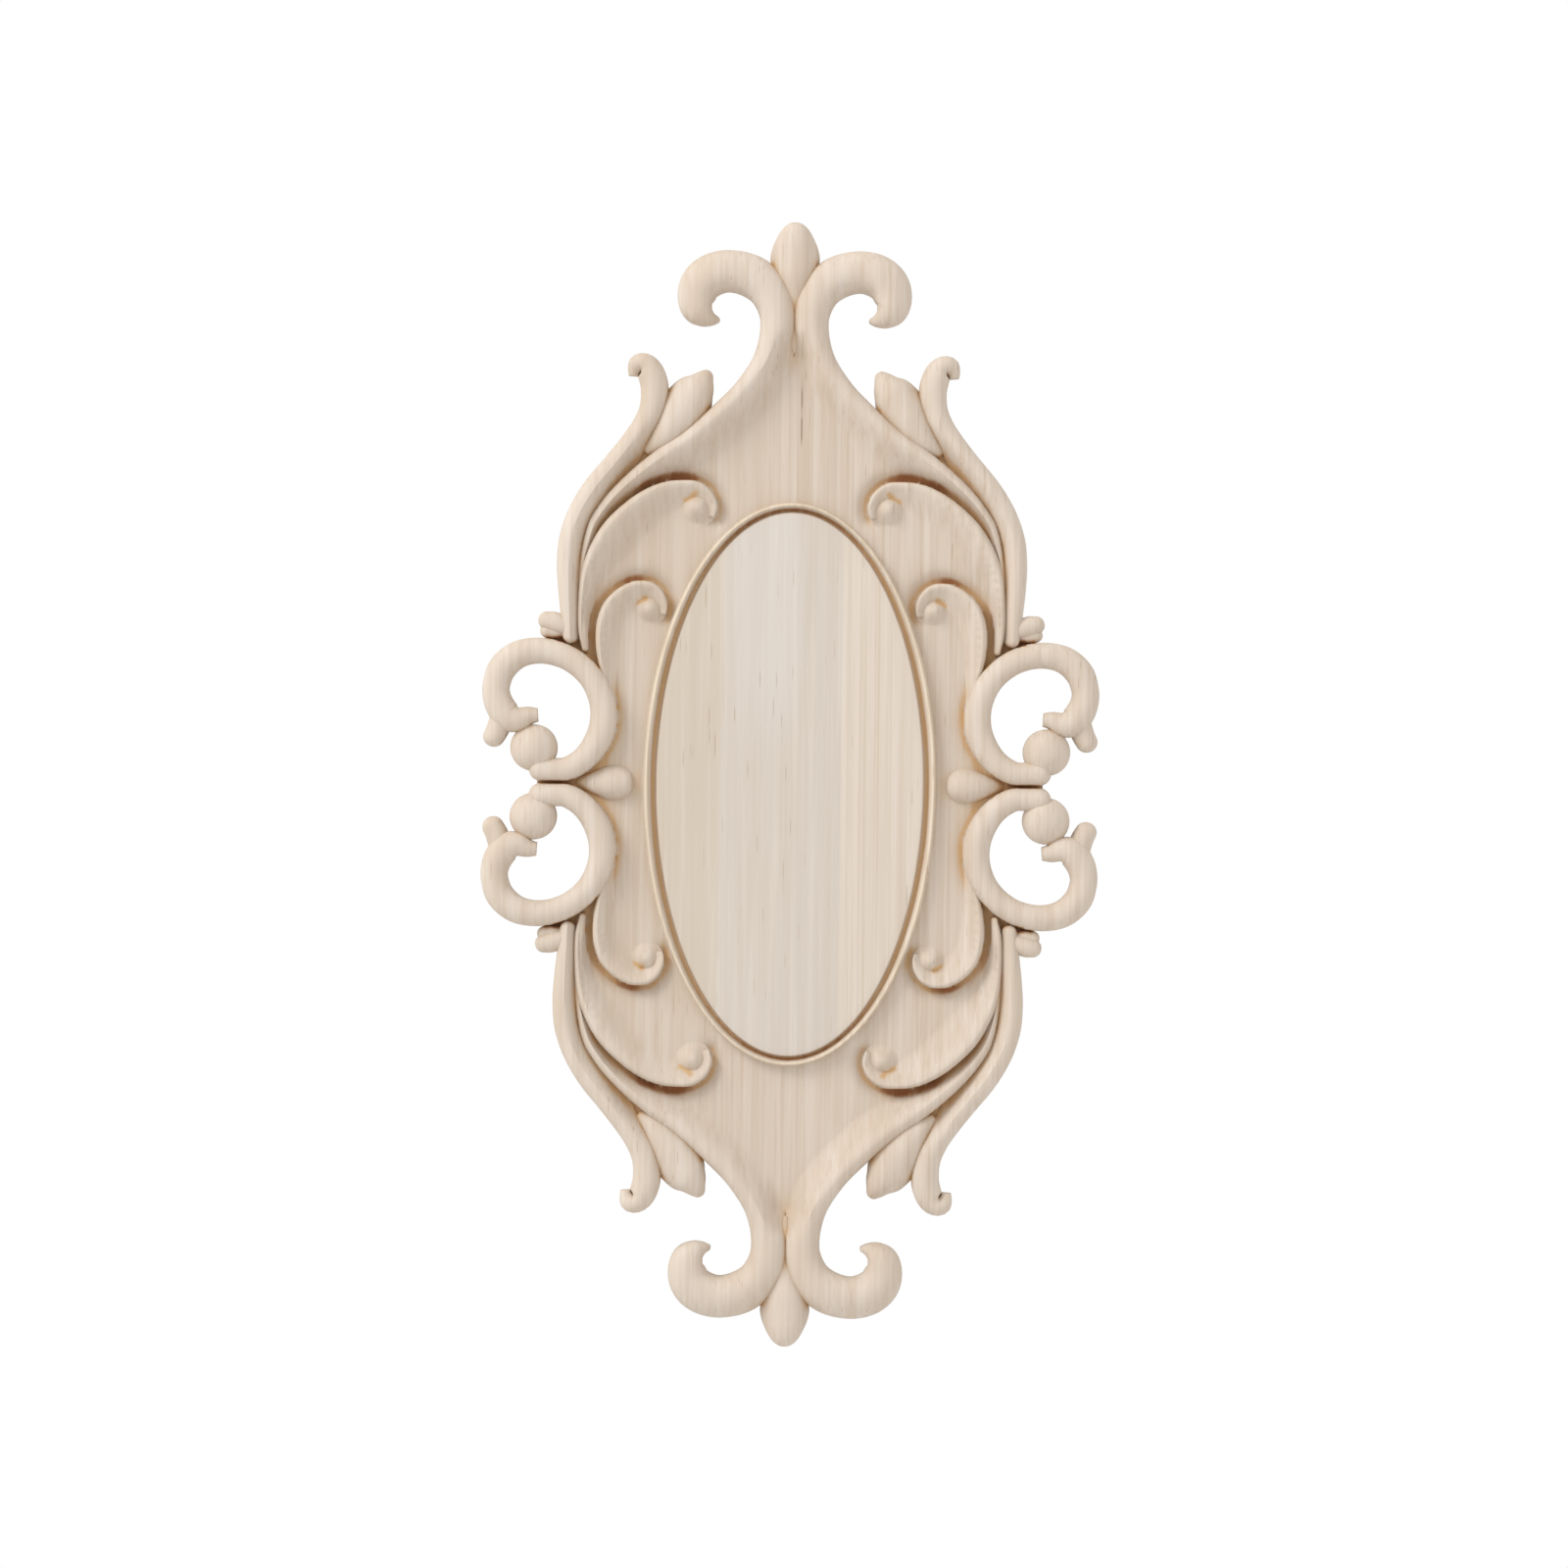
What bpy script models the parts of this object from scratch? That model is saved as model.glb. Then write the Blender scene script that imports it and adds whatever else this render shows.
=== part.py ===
"""Carved wooden onlay: an oval panel in a frame of scrolls and leaves, all cut from one board.

Lengths are in metres, except on the template sheet, which is in millimetres.
The flat back lies on the plane y = 0, the carving faces -Y, and +Z is up.
The origin is the middle of the back.
"""

import math

import bmesh
import bpy
from mathutils import Vector
from mathutils.geometry import interpolate_bezier, intersect_point_line

# Size of the whole onlay
HEIGHT = 0.400
WIDTH = 0.2194

# Thickness of the wood, measured from the back
BOARD_THICKNESS = 0.015
GROUND_THICKNESS = 0.0065

# Oval panel, its groove and the bead around it. Bead and groove are narrower at the oval's top and bottom.
OVAL_WIDTH = 0.1048
OVAL_HEIGHT = 0.2006
BEAD_WIDTH = 0.0027
BEAD_THICKNESS = 0.0102
BEAD_FULLNESS = 0.6
GROOVE_WIDTH = 0.0022
GROOVE_FLOOR = 0.0055
GROOVE_WALL = 0.00044
NARROWER_AT_TOP = 0.75
PANEL_THICKNESS = 0.0088
PANEL_CROWN = 0.0008
PANEL_EDGE_ROUND = 0.0007

# The template sheet: the carving is drawn on it in millimetres, for the upper right quarter.
# Its middle is the origin. It is stretched to the onlay's own width and height.
SHEET_WIDTH = 219.4
SHEET_HEIGHT = 400.0
ACROSS = WIDTH / SHEET_WIDTH
UP = HEIGHT / SHEET_HEIGHT

# A strand's crown rises with its half width (sheet millimetres), up to the board's face at the widest
FULLNESS = 3.2
WIDEST = 7.5
# Depth of the rounding, as a share of the half width of a strand or the radius of a knob
STRAND_ROUND = 0.95
KNOB_ROUND = 0.75
# How near the inner edge of a strand may come to the middle of a bend, as a share of the bend's radius
NEAREST_TO_BEND = 0.92

# How much thinner than a strand of their width the low pieces are
BUD_DROP = 0.0012
LEAF_DROP = 0.0012
SIDE_LEAF_DROP = 0.0010
SIDE_LOBE_DROP = 0.0014
TAIL_DROP = 0.0012
TEARDROP_DROP = 0.0036
SCROLL_KNOB_DROP = 0.0030

# How finely curves are cut into flat faces (STRAY in sheet millimetres, END_ANGLES in degrees)
CURVE_PIECES = 10
BEND_REACH = 5
STRAY = 0.5
SECTION_STEPS = 4
OVAL_STEPS = 48
DOME_STEPS = 12
DOME_SHARES = (0.5, 0.85)
BEAD_SHARES = (0.25, 0.75)
CROWN_SHARES = (0.4, 0.9)
END_ANGLES = (20, 40, 58, 74)

# Spare wood behind the back, which is planed off, and the tolerances of cutting and joining
BACK_SPARE = 0.002
BORE_SHELF = 0.0002
SEAM_MERGE = 0.00002
LEAST_TURN = 0.001

# Strands on the template sheet: each point is (x, z, half width), from one end of the strand to the other
CREST = [
    (27.0, 165.1, 0.8),
    (29.3, 165.3, 2.2),
    (31.9, 166.5, 4.1),
    (34.2, 169.1, 6.0),
    (35.0, 172.9, 6.7),
    (33.6, 177.6, 7.2),
    (29.5, 181.1, 7.4),
    (22.8, 182.5, 7.3),
    (14.4, 180.2, 7.4),
    (8.6, 174.6, 6.9),
    (5.8, 165.0, 6.4),
    (8.7, 151.5, 5.6),
    (16.4, 140.2, 4.8),
    (25.3, 131.2, 4.6),
    (36.0, 122.3, 4.2),
    (45.5, 116.0, 3.8),
    (53.6, 110.0, 3.4),
    (61.3, 103.2, 3.0),
    (66.4, 97.4, 2.7),
    (70.4, 91.0, 2.4),
    (73.6, 80.0, 1.6),
    (75.4, 68.0, 0.7),
]
FLANK = [
    (57.6, 146.6, 1.9),
    (56.4, 148.8, 2.8),
    (53.6, 149.3, 3.6),
    (51.0, 146.2, 4.0),
    (49.7, 140.6, 4.3),
    (50.8, 133.0, 4.4),
    (54.0, 127.0, 4.6),
    (58.8, 120.6, 4.8),
    (64.4, 113.6, 4.8),
    (70.6, 105.0, 4.6),
    (75.4, 96.0, 4.3),
    (78.4, 87.0, 4.3),
    (79.2, 78.0, 4.1),
    (79.0, 69.0, 3.6),
    (78.4, 60.0, 3.0),
    (76.6, 50.0, 1.6),
]
LEAF = [
    (30.4, 145.9, 2.0),
    (31.6, 144.2, 3.5),
    (33.0, 142.0, 5.2),
    (35.2, 139.1, 7.4),
    (38.4, 134.4, 8.4),
    (42.8, 127.9, 6.4),
    (47.0, 122.6, 4.2),
    (52.0, 118.0, 1.6),
]
UPPER_SCROLL = [
    (29.4, 100.6, 1.3),
    (30.9, 103.2, 1.7),
    (33.5, 105.0, 1.9),
    (37.0, 105.9, 2.0),
    (45.0, 104.9, 2.3),
    (51.0, 101.9, 2.9),
    (57.0, 97.3, 3.4),
    (64.2, 90.0, 3.6),
    (69.2, 82.0, 3.3),
    (72.4, 74.0, 2.7),
    (73.9, 64.0, 2.1),
    (74.0, 54.0, 1.8),
    (73.2, 47.5, 1.2),
]
LOWER_SCROLL = [
    (46.7, 65.8, 1.2),
    (48.2, 68.2, 1.6),
    (50.6, 69.7, 1.8),
    (53.6, 70.1, 1.9),
    (57.0, 69.3, 2.0),
    (61.8, 66.2, 2.2),
    (65.2, 61.5, 2.5),
    (66.9, 54.0, 2.7),
    (66.6, 44.0, 2.2),
    (64.8, 36.0, 1.4),
    (63.0, 29.0, 0.7),
]
SIDE_SCROLL = [
    (90.0, 23.9, 2.4),
    (93.0, 23.6, 3.2),
    (96.8, 22.3, 4.4),
    (100.4, 23.1, 5.2),
    (103.4, 26.9, 5.1),
    (104.8, 31.0, 4.8),
    (104.8, 34.6, 4.7),
    (102.9, 40.2, 4.9),
    (98.0, 44.8, 4.8),
    (92.0, 46.6, 4.6),
    (85.0, 46.2, 4.5),
    (77.8, 43.3, 4.4),
    (71.6, 38.0, 4.4),
    (67.8, 31.4, 4.6),
    (66.4, 24.0, 4.8),
    (67.8, 16.6, 4.8),
    (72.6, 9.2, 4.4),
    (79.0, 5.0, 4.1),
    (84.0, 4.5, 4.0),
    (88.6, 4.8, 4.3),
]
TAIL = [
    (102.8, 22.4, 4.2),
    (104.4, 18.2, 3.9),
    (105.7, 15.8, 3.7),
]
SIDE_LEAF = [
    (77.4, 54.0, 2.0),
    (80.6, 55.2, 3.2),
    (83.6, 56.0, 4.2),
    (86.4, 56.2, 4.5),
]
SIDE_LEAF_LOBE = [
    (80.0, 54.0, 1.8),
    (83.5, 54.1, 2.4),
    (86.6, 54.4, 2.9),
]
BUD = [
    (0.0, 166.0, 1.6),
    (0.0, 175.0, 4.2),
    (0.0, 181.5, 7.4),
    (0.0, 186.5, 8.8),
    (0.0, 190.4, 8.2),
    (0.0, 194.0, 6.6),
    (0.0, 196.5, 3.64),
]
TEARDROP_TAIL = [
    (62.0, 0.0, 3.4),
    (70.0, 0.0, 2.8),
    (78.0, 0.0, 0.8),
]

# Round knobs on the template sheet: (x, z, radius)
SIDE_BALL = (91.2, 12.2, 8.3)
UPPER_KNOB = (33.7, 98.4, 6.3)
LOWER_KNOB = (50.2, 62.8, 5.3)
TEARDROP = (61.8, 0.0, 6.4)

# Outline of the flat ground on the template sheet. It runs under the strands, so that they hide its edge,
# but for the short webs beside the side leaf and between the two side scrolls.
GROUND = [
    (-4.0, -4.0),
    (-4.0, 168.0),
    (5.5, 163.0),
    (9.0, 150.0),
    (17.0, 139.6),
    (36.0, 124.0),
    (46.0, 127.0),
    (54.0, 126.0),
    (64.4, 113.6),
    (75.4, 96.0),
    (78.8, 82.0),
    (78.4, 61.0),
    (84.0, 57.0),
    (87.0, 54.0),
    (87.0, 47.0),
    (78.0, 43.6),
    (71.6, 38.0),
    (66.6, 24.0),
    (72.8, 10.2),
    (79.0, 6.6),
    (90.0, 4.0),
    (90.0, -4.0),
]


def clear_scene():
    """Start from an empty scene."""
    for obj in list(bpy.data.objects):
        bpy.data.objects.remove(obj, do_unlink=True)


def crown_thickness(half_width):
    """Thickness of the wood at the crown of a strand of this half width (millimetres)."""
    share = (1 - math.exp(-half_width / FULLNESS)) / (1 - math.exp(-WIDEST / FULLNESS))
    return GROUND_THICKNESS + (BOARD_THICKNESS - GROUND_THICKNESS) * min(share, 1.0)


def on_board(x, z, thickness):
    """Place a point of the template sheet at this thickness of wood."""
    return Vector((x * ACROSS, -thickness, z * UP))


def add_object(name, mesh_builder, helper=True):
    """Make an object of a finished bmesh. A helper is only cut or joined with, and isn't a part."""
    bmesh.ops.recalc_face_normals(mesh_builder, faces=mesh_builder.faces)
    mesh = bpy.data.meshes.new(name)
    mesh_builder.to_mesh(mesh)
    mesh_builder.free()
    obj = bpy.data.objects.new(name, mesh)
    bpy.context.scene.collection.objects.link(obj)
    if helper:
        obj.hide_render = True
        obj.display_type = "WIRE"
    return obj


def add_loft(name, rings, fan_ends=True):
    """Join closed rings of equally many points into one solid, closed by a fan or by one face at each end."""
    builder = bmesh.new()
    loops = [[builder.verts.new(point) for point in ring] for ring in rings]
    count = len(loops[0])
    for near, far in zip(loops, loops[1:]):
        for i in range(count):
            j = (i + 1) % count
            builder.faces.new((near[i], near[j], far[j], far[i]))
    for loop in (loops[0], loops[-1]):
        if not fan_ends:
            builder.faces.new(loop)
            continue
        middle = builder.verts.new(sum((corner.co for corner in loop), Vector()) / count)
        for i in range(count):
            builder.faces.new((loop[i], loop[(i + 1) % count], middle))
    return add_object(name, builder)


def smooth_curve(points):
    """A smooth curve of (x, z, half width) through the points, cut into many short pieces."""
    knots = [Vector(point) for point in points]
    slopes = []
    for i in range(len(knots)):
        before = knots[max(i - 1, 0)]
        after = knots[min(i + 1, len(knots) - 1)]
        slopes.append((after - before).normalized())
    curve = [knots[0]]
    for i in range(len(knots) - 1):
        reach = (knots[i + 1] - knots[i]).length / 3
        handles = (knots[i] + slopes[i] * reach, knots[i + 1] - slopes[i + 1] * reach)
        curve += interpolate_bezier(knots[i], *handles, knots[i + 1], CURVE_PIECES + 1)[1:]
    return curve


def round_end(curve):
    """Points that carry the curve on past its last one and bring its half width down in an arc."""
    last = curve[-1]
    along = (last - curve[-2]).to_2d().normalized()
    added = []
    for angle in END_ANGLES:
        middle = last.to_2d() + along * last.z * math.sin(math.radians(angle))
        added.append(Vector((middle.x, middle.y, last.z * math.cos(math.radians(angle)))))
    return added


def edges_of(curve, i):
    """The strand's two edges at point i, kept off the middle of a bend that is tighter than the strand."""
    here = curve[i]
    before, after = curve[max(i - BEND_REACH, 0)], curve[min(i + BEND_REACH, len(curve) - 1)]
    along = (curve[min(i + 1, len(curve) - 1)] - curve[max(i - 1, 0)]).to_2d().normalized()
    side = Vector((along.y, -along.x))
    entry, leave = (here - before).to_2d(), (after - here).to_2d()
    limits = [here.z, here.z]
    if entry.length and leave.length:
        turn = entry.angle_signed(leave)
        if abs(turn) > LEAST_TURN:
            radius = (entry.length + leave.length) / 2 / abs(turn)
            inner = 1 if turn > 0 else 0
            limits[inner] = min(here.z, NEAREST_TO_BEND * radius)
    return here.to_2d() - side * limits[0], here.to_2d() + side * limits[1]


def off_line(point, start, end):
    """Distance of a point from the line through start and end."""
    if (end - start).length == 0:
        return (point - start).length
    return (point - intersect_point_line(point, start, end)[0]).length


def ring_places(edges, first, last):
    """The points between first and last that need a ring, so that neither edge strays from its curve."""
    widest, place = 0.0, first
    for i in range(first + 1, last):
        stray = max(off_line(edges[i][side], edges[first][side], edges[last][side]) for side in (0, 1))
        if stray > widest:
            widest, place = stray, i
    if widest < STRAY:
        return [first, last]
    return ring_places(edges, first, place)[:-1] + ring_places(edges, place, last)


def strand_ring(edges, half_width, drop):
    """One cross section: walls up from behind the back, with a round crown between them."""
    middle = (edges[0] + edges[1]) / 2
    crown = crown_thickness(half_width) - drop
    shoulder = crown - STRAND_ROUND * half_width * ACROSS
    ring = []
    for k in range(SECTION_STEPS + 1):
        angle = math.pi * (k / SECTION_STEPS - 0.5)
        point = middle + (edges[1] - edges[0]) / 2 * math.sin(angle)
        ring.append(on_board(point.x, point.y, shoulder + (crown - shoulder) * math.cos(angle)))
    last, first = ring[-1], ring[0]
    return ring + [Vector((last.x, BACK_SPARE, last.z)), Vector((first.x, BACK_SPARE, first.z))]


def add_strand(name, points, drop=0.0, blunt_start=False):
    """A carved strand along the points. Its ends are round, but for a start that is said to be blunt."""
    curve = smooth_curve(points)
    curve += round_end(curve)
    if not blunt_start:
        curve = round_end(curve[::-1])[::-1] + curve
    edges = [edges_of(curve, i) for i in range(len(curve))]
    kept = [0]
    for i in range(1, len(curve)):
        along = (curve[i] - curve[i - 1]).to_2d()
        if all((edges[i][side] - edges[kept[-1]][side]).dot(along) > 0 for side in (0, 1)):
            kept.append(i)
    edges = [edges[i] for i in kept]
    widths = [curve[i].z for i in kept]
    places = ring_places(edges, 0, len(edges) - 1)
    return add_loft(name, [strand_ring(edges[i], widths[i], drop) for i in places])


def add_knob(name, knob, drop=0.0):
    """A round knob with upright walls and a domed top."""
    x, z, radius = knob
    crown = crown_thickness(radius) - drop
    shoulder = crown - KNOB_ROUND * (crown - GROUND_THICKNESS)
    levels = [(radius, -BACK_SPARE), (radius, shoulder)]
    for share in DOME_SHARES:
        level = math.asin(share)
        levels.append((radius * math.cos(level), shoulder + (crown - shoulder) * share))
    rings = []
    for reach, thickness in levels:
        ring = []
        for k in range(DOME_STEPS):
            angle = math.tau * (k + 0.5) / DOME_STEPS
            ring.append(on_board(x + reach * math.cos(angle), z + reach * math.sin(angle), thickness))
        rings.append(ring)
    return add_loft(name, rings)


def add_slab(name, outline, back, front):
    """A flat slab with this outline on the template sheet, between two thicknesses."""
    rings = [[on_board(x, z, thickness) for x, z in outline] for thickness in (back, front)]
    return add_loft(name, rings, fan_ends=False)


def add_ellipses(name, levels):
    """A solid of stacked ellipses: each level is (distance in from the oval's edge, thickness)."""
    rings = []
    for inset, thickness in levels:
        half_width = OVAL_WIDTH / 2 - inset
        half_height = OVAL_HEIGHT / 2 - inset * NARROWER_AT_TOP
        ring = []
        for k in range(OVAL_STEPS):
            angle = math.tau * (k + 0.5) / OVAL_STEPS
            ring.append(Vector((half_width * math.cos(angle), -thickness, half_height * math.sin(angle))))
        rings.append(ring)
    return add_loft(name, rings)


def oval_levels():
    """Profile of the oval from its outer edge inwards: bead, groove, then the crowned panel."""
    rise = BEAD_THICKNESS - GROUND_THICKNESS
    levels = [(0.0, -BACK_SPARE), (0.0, GROUND_THICKNESS)]
    for share in BEAD_SHARES:
        bulge = math.sin(math.pi * share) ** BEAD_FULLNESS
        levels.append((BEAD_WIDTH * share, GROUND_THICKNESS + rise * bulge))
    groove_outside = BEAD_WIDTH
    groove_inside = BEAD_WIDTH + GROOVE_WIDTH
    levels.append((groove_outside, GROUND_THICKNESS))
    levels.append((groove_outside + GROOVE_WALL, GROOVE_FLOOR))
    levels.append((groove_inside - GROOVE_WALL, GROOVE_FLOOR))
    levels.append((groove_inside, PANEL_THICKNESS - PANEL_EDGE_ROUND))
    levels.append((groove_inside + PANEL_EDGE_ROUND, PANEL_THICKNESS))
    flat_from = groove_inside + PANEL_EDGE_ROUND
    middle = OVAL_WIDTH / 2
    for share in CROWN_SHARES:
        inset = flat_from + (middle - flat_from) * share
        levels.append((inset, PANEL_THICKNESS + PANEL_CROWN * (1 - (1 - share) ** 2)))
    return levels


def add_boolean(target, tool, operation):
    """Cut the target with the tool, or join them."""
    modifier = target.modifiers.new(operation.title(), "BOOLEAN")
    modifier.operation = operation
    modifier.solver = "EXACT"
    modifier.use_self = True
    modifier.object = tool


def settle(obj):
    """Replace the object's mesh by its cut and joined shape, and drop the modifiers."""
    graph = bpy.context.evaluated_depsgraph_get()
    mesh = bpy.data.meshes.new_from_object(obj.evaluated_get(graph), depsgraph=graph)
    obj.modifiers.clear()
    obj.data = mesh


def open_seams(obj):
    """Take away the quarter's two flat sides on the middle planes, where its mirror images join it."""
    builder = bmesh.new()
    builder.from_mesh(obj.data)
    for axis in (0, 2):
        for corner in builder.verts:
            if abs(corner.co[axis]) < SEAM_MERGE:
                corner.co[axis] = 0.0
        flat = [face for face in builder.faces if all(corner.co[axis] == 0.0 for corner in face.verts)]
        bmesh.ops.delete(builder, geom=flat, context="FACES")
    bmesh.ops.remove_doubles(builder, verts=builder.verts, dist=SEAM_MERGE)
    builder.to_mesh(obj.data)
    builder.free()


def add_mirror(target):
    """Repeat the upper right quarter on the other three, and weld the seams."""
    mirror = target.modifiers.new("Quarters", "MIRROR")
    mirror.use_axis = (True, False, True)
    mirror.merge_threshold = SEAM_MERGE


def wood():
    """Pale, unfinished, close-grained wood."""
    material = bpy.data.materials.new("pale_wood")
    material.use_nodes = True
    shader = material.node_tree.nodes["Principled BSDF"]
    shader.inputs["Base Color"].default_value = (0.71, 0.57, 0.43, 1)
    shader.inputs["Roughness"].default_value = 0.72
    shader.inputs["Metallic"].default_value = 0.0
    return material


def build_onlay():
    """Join one quarter of the carving, sink the oval into it, plane the back and mirror it."""
    onlay = add_slab("carved_onlay", GROUND, -BACK_SPARE, GROUND_THICKNESS)
    onlay.hide_render = False
    onlay.display_type = "TEXTURED"
    joined = [
        add_strand("bud", BUD, BUD_DROP),
        add_strand("leaf", LEAF, LEAF_DROP),
        add_strand("side_leaf", SIDE_LEAF, SIDE_LEAF_DROP),
        add_strand("side_leaf_lobe", SIDE_LEAF_LOBE, SIDE_LOBE_DROP),
        add_strand("tail", TAIL, TAIL_DROP),
        add_strand("flank", FLANK),
        add_strand("crest", CREST),
        add_strand("upper_scroll", UPPER_SCROLL),
        add_strand("lower_scroll", LOWER_SCROLL),
        add_strand("side_scroll", SIDE_SCROLL, blunt_start=True),
        add_strand("teardrop_tail", TEARDROP_TAIL, TEARDROP_DROP),
        add_knob("side_ball", SIDE_BALL),
        add_knob("upper_knob", UPPER_KNOB, SCROLL_KNOB_DROP),
        add_knob("lower_knob", LOWER_KNOB, SCROLL_KNOB_DROP),
        add_knob("teardrop", TEARDROP, TEARDROP_DROP),
    ]
    for piece in joined:
        add_boolean(onlay, piece, "UNION")
    bore = add_ellipses("oval_bore", [(BORE_SHELF, -2 * BACK_SPARE), (BORE_SHELF, 2 * BOARD_THICKNESS)])
    add_boolean(onlay, bore, "DIFFERENCE")
    add_boolean(onlay, add_ellipses("oval", oval_levels()), "UNION")
    quarter = [(0.0, 0.0), (SHEET_WIDTH, 0.0), (SHEET_WIDTH, SHEET_HEIGHT), (0.0, SHEET_HEIGHT)]
    add_boolean(onlay, add_slab("quarter", quarter, 0.0, 2 * BOARD_THICKNESS), "INTERSECT")
    settle(onlay)
    open_seams(onlay)
    add_mirror(onlay)
    onlay.data.materials.append(wood())
    return onlay


clear_scene()
build_onlay()
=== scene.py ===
# %% [markdown]
# # A carved wooden onlay
#
# The object is a flat-backed ornament for a door or a bed head. It is cut from one pale board:
# an oval panel in the middle, and around it a frame of scrolls, leaves and small balls.
# The first cell loads the plain solid that the carving has to fit. Everything made below is
# placed from that solid's own box, so the lesson never has to guess a size.

# %% Load the blank
import math

import bmesh
import bpy
import numpy as np
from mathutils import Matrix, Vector
from mathutils.bvhtree import BVHTree
from mathutils.geometry import interpolate_bezier


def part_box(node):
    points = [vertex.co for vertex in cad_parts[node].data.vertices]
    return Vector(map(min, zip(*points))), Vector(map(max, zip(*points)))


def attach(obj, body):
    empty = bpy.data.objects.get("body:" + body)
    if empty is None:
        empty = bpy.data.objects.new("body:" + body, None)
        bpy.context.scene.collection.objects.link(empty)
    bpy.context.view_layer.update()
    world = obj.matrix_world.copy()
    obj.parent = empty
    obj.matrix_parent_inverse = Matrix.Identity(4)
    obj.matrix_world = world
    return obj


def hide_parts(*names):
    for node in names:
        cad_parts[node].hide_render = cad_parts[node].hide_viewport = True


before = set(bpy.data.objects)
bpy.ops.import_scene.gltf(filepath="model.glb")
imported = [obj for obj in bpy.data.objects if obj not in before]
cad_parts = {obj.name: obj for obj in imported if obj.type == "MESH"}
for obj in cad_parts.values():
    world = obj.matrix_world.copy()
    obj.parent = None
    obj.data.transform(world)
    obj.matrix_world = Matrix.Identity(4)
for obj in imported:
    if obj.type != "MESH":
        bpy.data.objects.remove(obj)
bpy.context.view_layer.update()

NODE = "carved_onlay"
low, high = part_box(NODE)
print("blank, in mm:", [round(1000 * (b - a), 1) for a, b in zip(low, high)])

# %% [markdown]
# ## The template sheet
#
# A carver draws a symmetric piece once, on paper, as one quarter of it. The lists below are that
# drawing, in millimetres from the middle of the onlay: each strand is a line of stations
# (across, up, half width). Only the turning points are drawn. A smooth curve fills in the rest,
# as it does under a pencil, and that is why this beats a traced outline with hundreds of points.
# The sheet is stretched to the blank's real width, height and thickness.

# %% Sheet
SHEET_WIDTH, SHEET_HEIGHT = 219.4, 400.0
# Metres on the real blank for one millimetre of the sheet.
ACROSS = (high[0] - low[0]) / SHEET_WIDTH
UP = (high[2] - low[2]) / SHEET_HEIGHT
# Thickness in mm of the board, and of the ground that is left between the strands.
BOARD = (high[1] - low[1]) * 1000
GROUND = 6.5
print("sheet stretched by", round(ACROSS * 1000, 4), "across and", round(UP * 1000, 4), "up")

# %% [markdown]
# The crest curls at the top and runs down beside the oval. The flank runs outside it and makes
# the outline, and a leaf fills the fork between the two. A bud closes the top, and a thin web
# ties the crests of the left and the right side together below it.

# %% Crest, flank, leaf and bud
CREST = [
    (27.0, 165.1, 0.8), (29.3, 165.3, 2.2), (31.9, 166.5, 4.1), (34.2, 169.1, 6.0),
    (35.0, 172.9, 6.7), (33.6, 177.6, 7.2), (29.5, 181.1, 7.4), (22.8, 182.5, 7.3),
    (14.4, 180.2, 7.4), (8.6, 174.6, 6.9), (5.8, 165.0, 6.4), (8.7, 151.5, 5.6),
    (16.4, 140.2, 4.8), (25.3, 131.2, 4.6), (36.0, 122.3, 4.2), (45.5, 116.0, 3.8),
    (53.6, 110.0, 3.4), (61.3, 103.2, 3.0), (66.4, 97.4, 2.7), (70.4, 91.0, 2.4),
    (73.6, 80.0, 1.6), (75.4, 68.0, 0.7),
]
FLANK = [
    (57.1, 144.9, 1.7), (56.8, 146.9, 2.4), (55.4, 148.6, 3.8), (52.6, 148.1, 4.4),
    (50.5, 144.8, 4.9), (49.5, 139.8, 4.9), (50.5, 133.0, 4.4), (53.3, 126.8, 4.2),
    (57.8, 120.2, 4.2), (63.4, 113.0, 4.3), (70.1, 104.7, 4.4), (75.4, 96.0, 4.3),
    (78.5, 87.0, 4.3), (79.4, 78.0, 4.2), (79.3, 69.0, 3.8), (78.9, 60.0, 3.2),
    (78.6, 51.6, 2.6),
]
LEAF = [
    (30.4, 145.9, 2.0), (31.6, 144.2, 3.5), (33.0, 142.0, 5.2), (35.2, 139.1, 7.4),
    (38.4, 134.4, 8.4), (42.8, 127.9, 6.4), (47.0, 122.6, 4.2), (52.0, 118.0, 1.6),
]
BUD = [
    (0.0, 166.0, 1.6), (0.0, 175.0, 4.2), (0.0, 181.5, 7.4), (0.0, 186.5, 8.8),
    (0.0, 190.4, 8.2), (0.0, 194.0, 6.7), (0.0, 196.8, 5.1),
    (0.0, 198.4, 3.7), (0.0, 199.3, 2.4),
]
CREST_WEB = [(0.0, 154.0, 0.8), (0.0, 158.0, 1.4), (0.0, 163.0, 2.0), (0.0, 178.0, 2.2)]
print("the crest is drawn with", len(CREST), "points and the flank with", len(FLANK))

# %% [markdown]
# Three scrolls fill the rest of the quarter. The upper and the lower one each curl round a soft
# knob. The side scroll runs round a hole, from a curl with a short tail to a ball. Two small
# leaves lie above it, and a teardrop points outwards on the middle plane. Knobs are
# (across, up, radius).

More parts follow.
